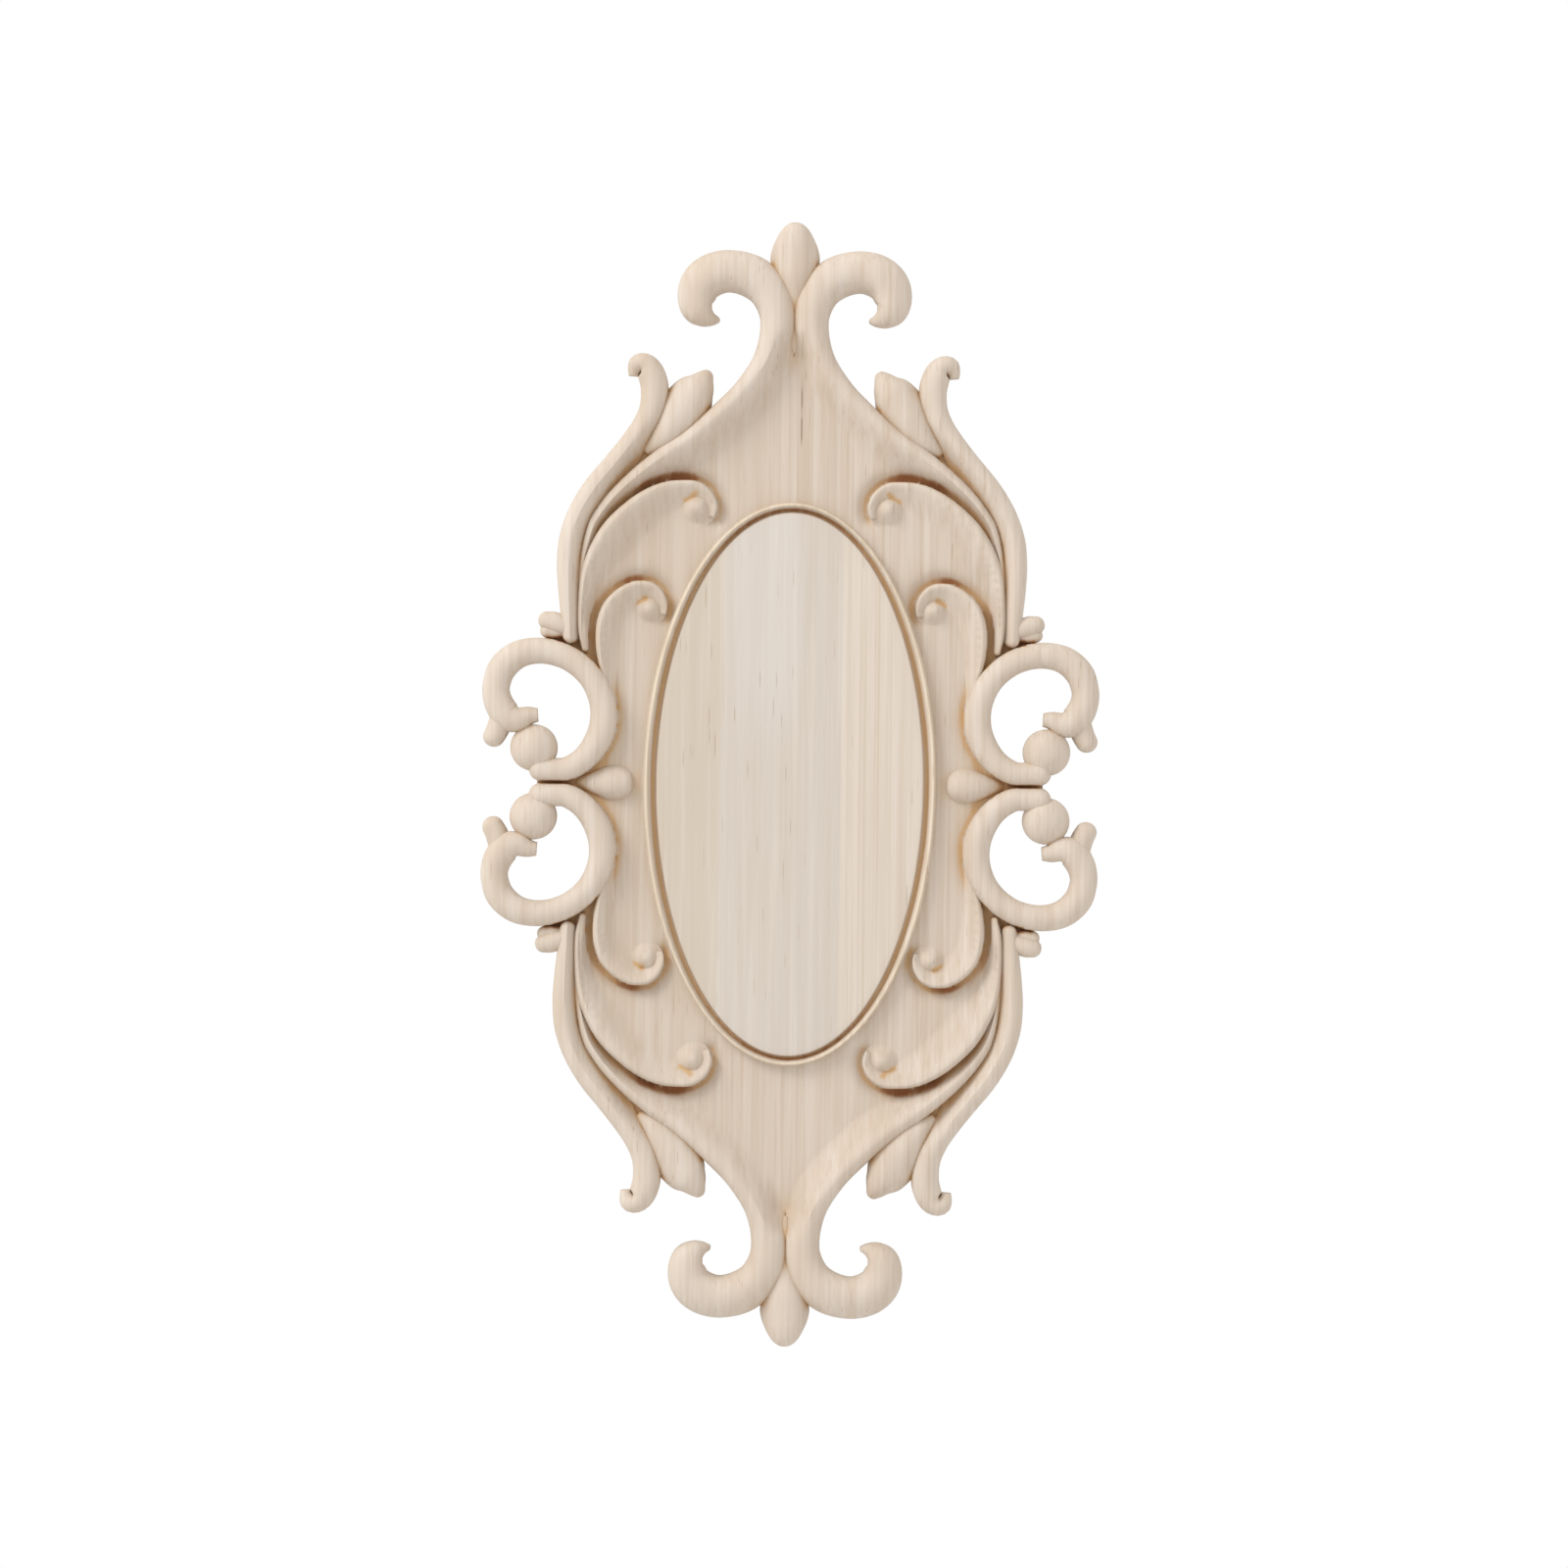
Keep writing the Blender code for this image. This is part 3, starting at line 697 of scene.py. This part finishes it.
print("the relief was read at", height.size, "places")
print("the mean thickness is", round(height[height > 0].mean(), 2), "mm")

# %% [markdown]
# The blur is a bell, run over the grid one way and then the other. The second blur counts only
# places with wood, because the empty air outside would make every edge look like a hill. The
# last tool reads the grid at any corner of the mesh.

# %% Blurs
# The least share of wood that is divided by, and how many cells before the grid's end it is read.
LEAST_WOOD = 0.02
LAST_CELL = 1.001


def blur(grid, radius):
    """The grid blurred by a bell of this radius in mm."""
    reach = int(3 * radius / PITCH)
    bell = np.exp(-(np.arange(-reach, reach + 1) * PITCH / radius) ** 2)
    bell /= bell.sum()
    for axis in (0, 1):
        grid = np.apply_along_axis(lambda line: np.convolve(line, bell, mode="same"), axis, grid)
    return grid


def wood_blur(radius):
    """The thickness blurred over the wood alone."""
    return blur(height, radius) / np.maximum(blur(wood_there, radius), LEAST_WOOD)


def at_corners(grid, places):
    """The grid's value at each place (across, up) in mm, blended between its four neighbours."""
    x = np.clip((places[:, 0] - grid_across[0]) / PITCH, 0, len(grid_across) - LAST_CELL)
    z = np.clip((places[:, 1] - grid_up[0]) / PITCH, 0, len(grid_up) - LAST_CELL)
    i, j = x.astype(int), z.astype(int)
    u, v = x - i, z - j
    low_row = grid[j, i] * (1 - u) + grid[j, i + 1] * u
    high_row = grid[j + 1, i] * (1 - u) + grid[j + 1, i + 1] * u
    return low_row * (1 - v) + high_row * v


corners = np.array([corner.co for corner in carving.data.vertices])
places = np.column_stack([corners[:, 0] / ACROSS, corners[:, 2] / UP])
print("the grid will be read at", len(places), "corners")

# %% [markdown]
# A narrow blur finds the tight creases between strands, and a broad one the wide bays of
# ground. The outer silhouette is left out, because there the wood simply ends.

# %% Hollow places
# Radii in mm: the surroundings, and the place itself.
NARROW_ROUND, NARROW_SELF = 3.2, 0.6
BROAD_ROUND, BROAD_SELF = 7.0, 1.6
# Depths in mm at which a hollow is a full valley, and how late its painted shade sets in.
NARROW_DEPTH, BROAD_DEPTH = 2.1, 5.0
VALLEY_SHADE_POWER = 1.2
# The silhouette's mask: blur in mm, share of wood where it starts, and its width as a share.
EDGE_BLUR, EDGE_START, EDGE_SOFT = 2.4, 0.72, 0.2

inside = np.clip((blur(wood_there, EDGE_BLUR) - EDGE_START) / EDGE_SOFT, 0, 1)
narrow_grid = (wood_blur(NARROW_ROUND) - wood_blur(NARROW_SELF)) * inside
broad_grid = (wood_blur(BROAD_ROUND) - wood_blur(BROAD_SELF)) * inside
hollow = at_corners(narrow_grid, places)
broad_hollow = at_corners(broad_grid, places)
deepest = np.maximum(hollow / NARROW_DEPTH, broad_hollow / BROAD_DEPTH)
# The valley value is painted shade: darker in the creases and bays, where less light reaches.
valley_shade = np.clip(deepest, 0, 1) ** VALLEY_SHADE_POWER
print("half of the corners are less hollow than", round(float(np.median(hollow)), 2), "mm")
print("one in twenty is more hollow than", round(float(np.percentile(hollow, 95)), 2), "mm")

# %% [markdown]
# A cutter burns wood most when it crosses the grain, so the scorch is stronger where the surface
# climbs along it. A few places were burnt far more, perhaps because the cutter turned there.
# They are listed as (across, up, radius, strength).

# %% Scorch
# Blurs in mm of the height and of its slopes, and what keeps flat places from counting.
SLOPE_BLUR, GRAIN_BLUR, FLAT = 0.9, 1.6, 0.02
# Hollows in mm where the scorch starts and over which it grows.
SCORCH_START, SCORCH_GROWTH = 0.4, 1.1
# The scorch everywhere, and what a wall across the grain adds.
SCORCH_BASE, SCORCH_ACROSS = 0.18, 0.12
BURNS = (
    (40.0, 109.5, 7.0, 0.65), (50.0, 107.0, 6.0, 0.6), (70.4, 61.0, 6.0, 0.2), (71.5, 53.0, 4.0, 0.1),
    (57.0, 73.0, 5.0, 0.5), (82.0, 50.0, 4.5, 0.5), (82.0, 0.0, 6.0, 0.45), (30.5, 139.5, 3.0, 0.7),
)

slope_up, slope_across = np.gradient(wood_blur(SLOPE_BLUR), PITCH)
all_slopes = blur(slope_up ** 2 + slope_across ** 2, GRAIN_BLUR)
across_grain = blur(slope_up ** 2, GRAIN_BLUR) / (all_slopes + FLAT)
across = np.clip(at_corners(across_grain, places), 0, 1)
burnt = np.zeros(len(places))
for x, z, radius, strength in BURNS:
    away = ((np.abs(places) - (x, z)) ** 2).sum(1)
    burnt = np.maximum(burnt, strength * np.exp(-away / radius ** 2))
deep_enough = np.clip((hollow - SCORCH_START) / SCORCH_GROWTH, 0, 1)
scorch = deep_enough * (SCORCH_BASE + SCORCH_ACROSS * across + burnt)
print("the strongest scorch so far is", round(float(scorch.max()), 2))

# %% [markdown]
# The groove gets painted shade all along, and is burnt at the top and the bottom, where it crosses the
# grain.
# The bead beside it gets a painted highlight, which also takes the painted shade and the scorch off it.
# Both are too narrow for the grid, so each corner's distance in from the oval's edge is worked out from
# the ellipses, by a few rounds of Newton's method.

# %% Groove and bead
ROUNDS = 4
SHALLOWEST_INSET, DEEPEST_INSET = -20, 30
LEAST_STEEPNESS = 0.001
# In mm: the painted shade line's distance from the bead, the painted highlight line's from the oval's
# edge, and the half width of both.
GROOVE_LINE, HIGHLIGHT_LINE, LINE_REACH = 0.9, 1.2, 0.9
# The groove's scorch at the sides, and what the top and the bottom add. It grows from the
# start, in mm from the middle, over the growth.
GROOVE_SCORCH, GROOVE_SCORCH_ENDS = 0.16, 0.5
ENDS_START, ENDS_GROWTH = 70, 25

inset = np.zeros(len(places))
for _ in range(ROUNDS):
    a, b = OVAL_WIDTH / 2 - inset, OVAL_HEIGHT / 2 - inset * NARROWER_AT_TOP
    miss = 1 - (places[:, 0] / a) ** 2 - (places[:, 1] / b) ** 2
    steepness = 2 * places[:, 0] ** 2 / a ** 3 + 2 * NARROWER_AT_TOP * places[:, 1] ** 2 / b ** 3
    inset = np.clip(inset + miss / (steepness + LEAST_STEEPNESS), SHALLOWEST_INSET, DEEPEST_INSET)
in_groove = np.exp(-((inset - BEAD_WIDTH - GROOVE_LINE) / LINE_REACH) ** 2)
# A painted highlight along the bead.
bead_highlight = np.exp(-((inset - HIGHLIGHT_LINE) / LINE_REACH) ** 2)
top_and_bottom = np.clip((np.abs(places[:, 1]) - ENDS_START) / ENDS_GROWTH, 0, 1)
# Painted shade along the groove; the bead's painted highlight clears painted shade and scorch.
valley_shade = np.maximum(valley_shade * (1 - bead_highlight), in_groove)
groove_scorch = in_groove * (GROOVE_SCORCH + GROOVE_SCORCH_ENDS * top_and_bottom)
scorch = np.maximum(scorch * (1 - bead_highlight), groove_scorch)
print("corners in the groove:", int((in_groove > 0.5).sum()))

# %% [markdown]
# Each scroll's head has a small dark eye, where the rim meets the knob. A cut that narrow would
# need far finer rings, and only its colour shows from the front. So the eyes are painted as
# smudges that taper from a dark end to a thin one: painted shade of the eye's small pit, with
# some scorch towards the dark end.

# %% Eyes of the scrolls
EYES = (((34.4, 103.0), (38.3, 100.5)), ((52.0, 65.6), (54.8, 64.0)))
# Half width in mm at the dark end, how much of it is lost at the thin end, and the scorch.
EYE_WIDTH, EYE_TAPER, EYE_SCORCH = 1.3, 0.5, 0.35

for first, last in np.array(EYES):
    along = last - first
    away = np.abs(places) - first
    share = np.clip(away @ along / (along @ along), 0, 1)
    off_line = np.linalg.norm(away - share[:, None] * along, axis=1)
    eye_shade = np.exp(-(off_line / (EYE_WIDTH - EYE_TAPER * share)) ** 2)
    valley_shade = np.maximum(valley_shade, eye_shade)
    scorch = np.maximum(scorch, EYE_SCORCH * eye_shade * (1 - share))
print(len(EYES), "eyes in each quarter")

# %% [markdown]
# The three values are stored on the mesh itself. The wood reads them there, so no image has to
# be painted or kept.

# %% Values on the mesh
for name, values in (("valley_shade", valley_shade), ("scorch", scorch), ("bead_highlight", bead_highlight)):
    layer = carving.data.attributes.new(name, "FLOAT", "POINT")
    layer.data.foreach_set("value", values.astype(np.float32))
    print(name, "mean", round(float(values.mean()), 3))

# %% [markdown]
# ## Wood
#
# The wood is a pale, even hardwood, like rubberwood, planed on the panel and left rough from
# the cutter elsewhere. An image of wood would show the same pores on every strand, so the grain
# is made from noise in space, stretched up and down. A strand that dips under another then cuts
# the same fibres, as real carving does. Each
# helper makes one node and gives back its result.

# %% Node helpers
wood = bpy.data.materials.new("bare_wood")
wood.use_nodes = True
nodes, links = wood.node_tree.nodes, wood.node_tree.links
nodes.clear()


def plug(source, socket):
    """Link a socket, or set a plain value."""
    if isinstance(source, bpy.types.NodeSocket):
        links.new(source, socket)
    else:
        socket.default_value = source


def calc(operation, a, b=0.0):
    """A Math node's result."""
    step = nodes.new("ShaderNodeMath")
    step.operation = operation
    plug(a, step.inputs[0])
    plug(b, step.inputs[1])
    return step.outputs[0]


def times(a, b):
    """Two values multiplied."""
    return calc("MULTIPLY", a, b)


def ramp(value, start, end, low=0.0, high=1.0):
    """The value's way from start to end, held between low and high, with soft ends."""
    step = nodes.new("ShaderNodeMapRange")
    step.interpolation_type = "SMOOTHSTEP"
    for k, source in enumerate((value, start, end, low, high)):
        plug(source, step.inputs[k])
    return step.outputs[0]


def blend(share, first, second):
    """Two colours mixed by a share. A Mix node's colours are its inputs 6 and 7 and its output 2."""
    step = nodes.new("ShaderNodeMix")
    step.data_type = "RGBA"
    plug(share, step.inputs[0])
    plug(first, step.inputs[6])
    plug(second, step.inputs[7])
    return step.outputs[2]


def attribute(name):
    """A value stored on the mesh."""
    step = nodes.new("ShaderNodeAttribute")
    step.attribute_name = name
    return step.outputs["Fac"]


space = nodes.new("ShaderNodeTexCoord").outputs["Object"]
split = nodes.new("ShaderNodeSeparateXYZ")
links.new(space, split.inputs[0])
X, Y, Z = split.outputs[0], split.outputs[1], split.outputs[2]
print("helpers ready")

# %% [markdown]
# Fibres and pores are patterns stretched along the grain, and a little through the thickness
# too. Slopes cut through them, and would show patterns as thin in depth as across as stripes.

# %% Fibres and pores
# Scale through the thickness, as a share of the scale across. Less makes patterns longer.
DEPTH_SHARE = 0.3


def stretched(across, along, shift, shift_depth):
    """Coordinates in which a pattern of this width and length, in metres, has a size of one."""
    stretch = nodes.new("ShaderNodeMapping")
    stretch.inputs["Location"].default_value = (shift, shift_depth, shift)
    stretch.inputs["Scale"].default_value = (1 / across, DEPTH_SHARE / across, 1 / along)
    links.new(space, stretch.inputs["Vector"])
    return stretch.outputs[0]


def fibres(across, along, detail=2.0, shift=0.0):
    """Noise in streaks this wide and this long, in metres."""
    streaks = nodes.new("ShaderNodeTexNoise")
    streaks.inputs["Scale"].default_value = 1.0
    streaks.inputs["Detail"].default_value = detail
    links.new(stretched(across, along, shift, shift), streaks.inputs["Vector"])
    return streaks.outputs["Fac"]


def pores(across, along, radius, shift):
    """Short dark lines along the grain: cells of this width and length with a thin spot in each."""
    cells = nodes.new("ShaderNodeTexVoronoi")
    cells.inputs["Scale"].default_value = 1.0
    links.new(stretched(across, along, shift, 0), cells.inputs["Vector"])
    return ramp(cells.outputs["Distance"], radius, radius * 0.5)


print("patterns are", round(1 / DEPTH_SHARE, 1), "times longer in depth than across")

# %% [markdown]
# ## Boards and panel
#
# The blank was glued up from upright boards, and each has its own tint: yellower on the left,
# pinker on the right. The joints wander a little, because a ruled line would look printed. On
# the planed panel the boards show clearly, in the carving hardly at all. The panel's mask is
# an ellipse worked out from the shape.

# %% Boards and panel
PANEL_COLOUR = (0.585, 0.52, 0.455, 1)
CARVED_COLOUR = (0.59, 0.497, 0.408, 1)
YELLOW_BOARD = (0.565, 0.488, 0.395, 1)
PINK_BOARD = (0.655, 0.57, 0.48, 1)
# Where each joint starts and ends its change of colour, in metres from the middle.
LEFT_JOINT = (-0.0245, -0.0255)
RIGHT_JOINT = (0.0175, 0.0185)
# How far the joints wander, and over what width and length of board, all in metres.
WANDER = 0.004
WANDER_WIDTH, WANDER_LENGTH = 0.05, 0.3
# How strongly the tints show on the carving, and what the panel adds.
CARVED_BOARDS, PANEL_ADDS = 0.15, 0.7
# The mask's soft rim, in squared radii.
PANEL_RIM = (1.0, 0.985)
PANEL_EDGE_IN = BEAD_WIDTH + GROOVE_WIDTH

panel_x = calc("DIVIDE", X, (OVAL_WIDTH / 2 - PANEL_EDGE_IN) * ACROSS)
panel_z = calc("DIVIDE", Z, (OVAL_HEIGHT / 2 - PANEL_EDGE_IN * NARROWER_AT_TOP) * UP)
from_middle = calc("ADD", times(panel_x, panel_x), times(panel_z, panel_z))
on_panel = ramp(from_middle, *PANEL_RIM)
colour = blend(on_panel, CARVED_COLOUR, PANEL_COLOUR)
wander = times(calc("SUBTRACT", fibres(WANDER_WIDTH, WANDER_LENGTH, 1.0), 0.5), WANDER)
board_x = calc("ADD", X, wander)
board_share = calc("ADD", times(on_panel, PANEL_ADDS), CARVED_BOARDS)
colour = blend(times(ramp(board_x, *LEFT_JOINT), board_share), colour, YELLOW_BOARD)
colour = blend(times(ramp(board_x, *RIGHT_JOINT), board_share), colour, PINK_BOARD)
print("the panel's mask is an ellipse", round(OVAL_WIDTH - 2 * PANEL_EDGE_IN, 1), "mm wide")

# %% [markdown]
# Three pale places break up the even tint, and all three are painted light: a greyer painted sheen in
# the panel's upper half, left of the middle, lighter tops of the carving, and a painted highlight along
# the bead. They are painted in the colour and don't follow the shape's slopes.

# %% Pale places
SHEEN_COLOUR, SHEEN_SHARE = (0.635, 0.585, 0.54, 1), 0.5
# The sheen's left and right edges and its lower edge, in metres from the middle.
SHEEN_LEFT, SHEEN_RIGHT, SHEEN_BOTTOM = (-0.026, -0.018), (0.006, 0.0), (0.0, 0.045)
LIT_TOP_COLOUR, LIT_TOP_SHARE = (0.665, 0.575, 0.49, 1), 0.45
# Thickness in metres from which the tops get painted lighter, and where they are at their lightest.
LIT_TOP_FROM, LIT_TOP_TO = 0.0085, 0.0135
HIGHLIGHT_COLOUR, HIGHLIGHT_SHARE = (0.74, 0.625, 0.48, 1), 0.85

# Painted sheen: a paler, greyer patch of reflection on the planed panel.
sheen = times(ramp(board_x, *SHEEN_LEFT), ramp(board_x, *SHEEN_RIGHT))
sheen = times(sheen, times(ramp(Z, *SHEEN_BOTTOM), on_panel))
colour = blend(times(sheen, SHEEN_SHARE), colour, SHEEN_COLOUR)
thickness = times(Y, -1.0)
# Painted light: the carving's thick tops are lighter than the ground between them.
lit = ramp(thickness, LIT_TOP_FROM, LIT_TOP_TO, 0.0, LIT_TOP_SHARE)
lit = times(lit, calc("SUBTRACT", 1.0, on_panel))
colour = blend(lit, colour, LIT_TOP_COLOUR)
# The painted highlight along the bead.
colour = blend(times(attribute("bead_highlight"), HIGHLIGHT_SHARE), colour, HIGHLIGHT_COLOUR)
print("the tops are clean from", 1000 * LIT_TOP_TO, "mm up")

# %% [markdown]
# ## Grain
#
# Four layers of streaks make the grain: brown ones, fine lines in the right-hand board, pale
# ones, and broad blotches. One layer alone would look like combed hair, because real grain has
# several widths at once. The planed panel is quieter.

# %% Grain
STREAK_COLOUR, STREAK_SHARE = (0.44, 0.335, 0.24, 1), 0.34
FINE_COLOUR, FINE_SHARE = (0.47, 0.36, 0.25, 1), 0.3
PALE_COLOUR, PALE_SHARE = (0.68, 0.61, 0.54, 1), 0.4
BLOTCH_COLOUR, BLOTCH_SHARE = (0.52, 0.40, 0.29, 1), 0.3
# How much of the streaks and of the blotches the planed panel loses.
STREAK_QUIET, BLOTCH_QUIET = 0.6, 0.7
# Fibres: width and length in metres, detail, and a shift that keeps the layers apart.
THIN_FIBRES, WIDE_FIBRES = (0.0011, 0.05, 3.0), (0.005, 0.25, 2.0)
FINE_FIBRES, PALE_FIBRES = (0.0012, 0.4, 1.0, 13.0), (0.003, 0.12, 2.0, 3.0)
BLOTCH_FIBRES = (0.012, 0.05, 3.0, 11.0)
THIN_PART, WIDE_PART = 0.6, 0.4
# Where in the noise each layer starts, and where it is at its full share.
STREAK_SPAN, FINE_SPAN = (0.38, 0.66), (0.55, 0.7)
PALE_SPAN, BLOTCH_SPAN = (0.5, 0.72), (0.45, 0.7)


def quieter(value, share):
    """The value, lowered by this share on the panel."""
    return times(value, calc("SUBTRACT", 1.0, times(on_panel, share)))


thin_streaks = times(fibres(*THIN_FIBRES), THIN_PART)
wide_streaks = times(fibres(*WIDE_FIBRES), WIDE_PART)
streak = ramp(calc("ADD", thin_streaks, wide_streaks), *STREAK_SPAN, 0.0, STREAK_SHARE)
colour = blend(quieter(streak, STREAK_QUIET), colour, STREAK_COLOUR)
fine_lines = ramp(fibres(*FINE_FIBRES), *FINE_SPAN)
fine_lines = times(fine_lines, ramp(board_x, *RIGHT_JOINT))
colour = blend(times(fine_lines, FINE_SHARE), colour, FINE_COLOUR)
pale_streak = ramp(fibres(*PALE_FIBRES), *PALE_SPAN, 0.0, PALE_SHARE)
colour = blend(pale_streak, colour, PALE_COLOUR)
blotch = ramp(fibres(*BLOTCH_FIBRES), *BLOTCH_SPAN, 0.0, BLOTCH_SHARE)
colour = blend(quieter(blotch, BLOTCH_QUIET), colour, BLOTCH_COLOUR)
print("the thinnest streaks are", round(1000 * THIN_FIBRES[0], 1), "mm wide")

# %% [markdown]
# Pores are the short dark dashes that tell wood from paint. They are two sizes of stretched
# cells, each with a thin spot, in patches, as in a sawn board. Noise has no such separate marks.

# %% Pores
PORE_COLOUR = (0.36, 0.24, 0.15, 1)
# The share of the dark in places with few pores and in places with many.
FEWEST, MOST = 0.08, 0.5
# Cells: width and length in metres, radius of the thin spot as a share of a cell, and shift.
SHORT_PORES, LONG_PORES = (0.0016, 0.03, 0.13, 5.0), (0.0026, 0.06, 0.10, 9.0)
PATCH_FIBRES, PATCH_SPAN = (0.02, 0.08, 2.0, 7.0), (0.42, 0.62)

pore = calc("MAXIMUM", pores(*SHORT_PORES), pores(*LONG_PORES))
patches = ramp(fibres(*PATCH_FIBRES), *PATCH_SPAN, FEWEST, MOST)
colour = blend(times(pore, patches), colour, PORE_COLOUR)
print("pores show with", FEWEST, "to", MOST, "of their full dark")

# %% [markdown]
# One joint shows a line of old glue, near the top and just right of the middle. It is thin and
# broken: a line mask times noise, fading at both ends. A strip of mesh wouldn't follow the relief.

# %% Glue line
GLUE_COLOUR, GLUE_SHARE = (0.16, 0.09, 0.05, 1), 0.7
# Everything in metres: the line's place, its soft half width, and its lower and upper ends.
GLUE_X = 0.0029
GLUE_HALF_WIDTH = (0.0004, 0.0001)
GLUE_BOTTOM, GLUE_TOP = (0.108, 0.120), (0.164, 0.150)
BREAK_FIBRES, BREAK_SPAN = (0.02, 0.012, 1.0, 2.0), (0.42, 0.6)

off_line = calc("ABSOLUTE", calc("SUBTRACT", board_x, GLUE_X))
breaks = ramp(fibres(*BREAK_FIBRES), *BREAK_SPAN)
glue = times(ramp(off_line, *GLUE_HALF_WIDTH), breaks)
glue = times(glue, times(ramp(Z, *GLUE_BOTTOM), ramp(Z, *GLUE_TOP)))
colour = blend(times(glue, GLUE_SHARE), colour, GLUE_COLOUR)
print("a glue line runs", 1000 * GLUE_X, "mm right of the middle")

# %% [markdown]
# ## Valleys and scorch
#
# The stored values now become colour: tan painted shade in the valleys, dark red-brown where it was burnt.
# Used plainly they would look airbrushed, so they are multiplied by streaky noise first.

# %% Valleys and scorch
VALLEY_SHADE_TAN, VALLEY_SHADE_SHARE, VALLEY_SHADE_SPAN = (0.575, 0.37, 0.18, 1), 0.9, (0.1, 0.95)
BURN, BURN_SHARE, BURN_SPAN = (0.27, 0.10, 0.034, 1), 0.92, (0.08, 0.85)
BURN_FIBRES = (0.0018, 0.016, 3.0, 4.0)
# Added to the noise, whose mean is a half, so that it neither darkens nor lightens.
MIDDLE_UP = 0.5

streaky = calc("ADD", fibres(*BURN_FIBRES), MIDDLE_UP)
valley_shade_share = ramp(times(attribute("valley_shade"), streaky), *VALLEY_SHADE_SPAN, 0.0, VALLEY_SHADE_SHARE)
colour = blend(valley_shade_share, colour, VALLEY_SHADE_TAN)
burn_share = ramp(times(attribute("scorch"), streaky), *BURN_SPAN, 0.0, BURN_SHARE)
colour = blend(burn_share, colour, BURN)
print("the wood's colour takes", len(nodes), "nodes")

# %% [markdown]
# Bare wood has hardly any shine, and is rough from fibres and pores. That roughness is a bump
# and not real relief, which would need millions of triangles.

# %% Surface
ROUGHNESS, SHINE = 0.72, 0.25
BUMP_STRENGTH, BUMP_DEPTH = 0.35, 0.00025
ROUGH_FIBRES, PORE_DEPTH = (0.0009, 0.012, 3.0, 6.0), -0.6

shader = nodes.new("ShaderNodeBsdfPrincipled")
links.new(colour, shader.inputs["Base Color"])
shader.inputs["Roughness"].default_value = ROUGHNESS
shader.inputs["Specular IOR Level"].default_value = SHINE
bump = nodes.new("ShaderNodeBump")
bump.inputs["Strength"].default_value = BUMP_STRENGTH
bump.inputs["Distance"].default_value = BUMP_DEPTH
rough = calc("ADD", fibres(*ROUGH_FIBRES), times(pore, PORE_DEPTH))
links.new(rough, bump.inputs["Height"])
links.new(bump.outputs[0], shader.inputs["Normal"])
output = nodes.new("ShaderNodeOutputMaterial")
links.new(shader.outputs[0], output.inputs[0])
carving.data.materials.clear()
carving.data.materials.append(wood)
print("the wood has", len(nodes), "nodes")

# %% [markdown]
# ## Camera and light
#
# The photograph is square, 1600 pixels each way, and the onlay's middle is 6 pixels right of the
# frame's middle. It leans half a degree clockwise. A long lens from more than two metres away
# keeps the walls of the scrolls hidden, as there.

# %% Camera
PHOTO_SIDE = 1600
ONLAY_TALL = 1149
MIDDLE = (806.0, 800.4)
LEAN = math.radians(0.579)
# Metres from the lens to the relief, and from the relief's middle height to the flat back.
DISTANCE = 2.4
RELIEF = 0.01
SENSOR = 36.0

metres_per_pixel = (high[2] - low[2]) / ONLAY_TALL
camera_data = bpy.data.cameras.new("camera")
camera = bpy.data.objects.new("camera", camera_data)
bpy.context.scene.collection.objects.link(camera)
frame_side = PHOTO_SIDE * metres_per_pixel
camera_data.sensor_width = SENSOR
camera_data.lens = camera_data.sensor_width * DISTANCE / frame_side
off_x = (MIDDLE[0] - PHOTO_SIDE / 2) * metres_per_pixel
off_z = (PHOTO_SIDE / 2 - MIDDLE[1]) * metres_per_pixel
camera.location = (-off_x, -DISTANCE - RELIEF, -off_z)
camera.rotation_euler = (math.pi / 2, -LEAN, 0)
bpy.context.scene.camera = camera
print("lens", round(camera_data.lens, 1), "mm")

# %% [markdown]
# The photograph is plain white behind the onlay, with soft light all round, so a white world
# does most of the work. One large soft box from the upper left adds the gentle shadows. A small
# lamp would draw hard edges.

# %% Stage and light
WHITE = (1, 1, 1, 1)
WORLD_STRENGTH = 1.0
KEY_PLACE, KEY_SIZE, KEY_POWER = (-1.6, -1.1, 1.5), 1.0, 30.0

world = bpy.data.worlds.new("studio")
world.use_nodes = True
background = world.node_tree.nodes["Background"]
background.inputs["Color"].default_value = WHITE
background.inputs["Strength"].default_value = WORLD_STRENGTH
bpy.context.scene.world = world
bpy.context.scene.view_settings.view_transform = "Standard"
lamp = bpy.data.objects.new("key", bpy.data.lights.new("key", "AREA"))
lamp.data.size = KEY_SIZE
lamp.data.energy = KEY_POWER
lamp.location = KEY_PLACE
lamp.rotation_euler = (-Vector(KEY_PLACE)).to_track_quat("-Z", "Y").to_euler()
bpy.context.scene.collection.objects.link(lamp)
print("one soft box of", KEY_SIZE, "m and", KEY_POWER, "W")
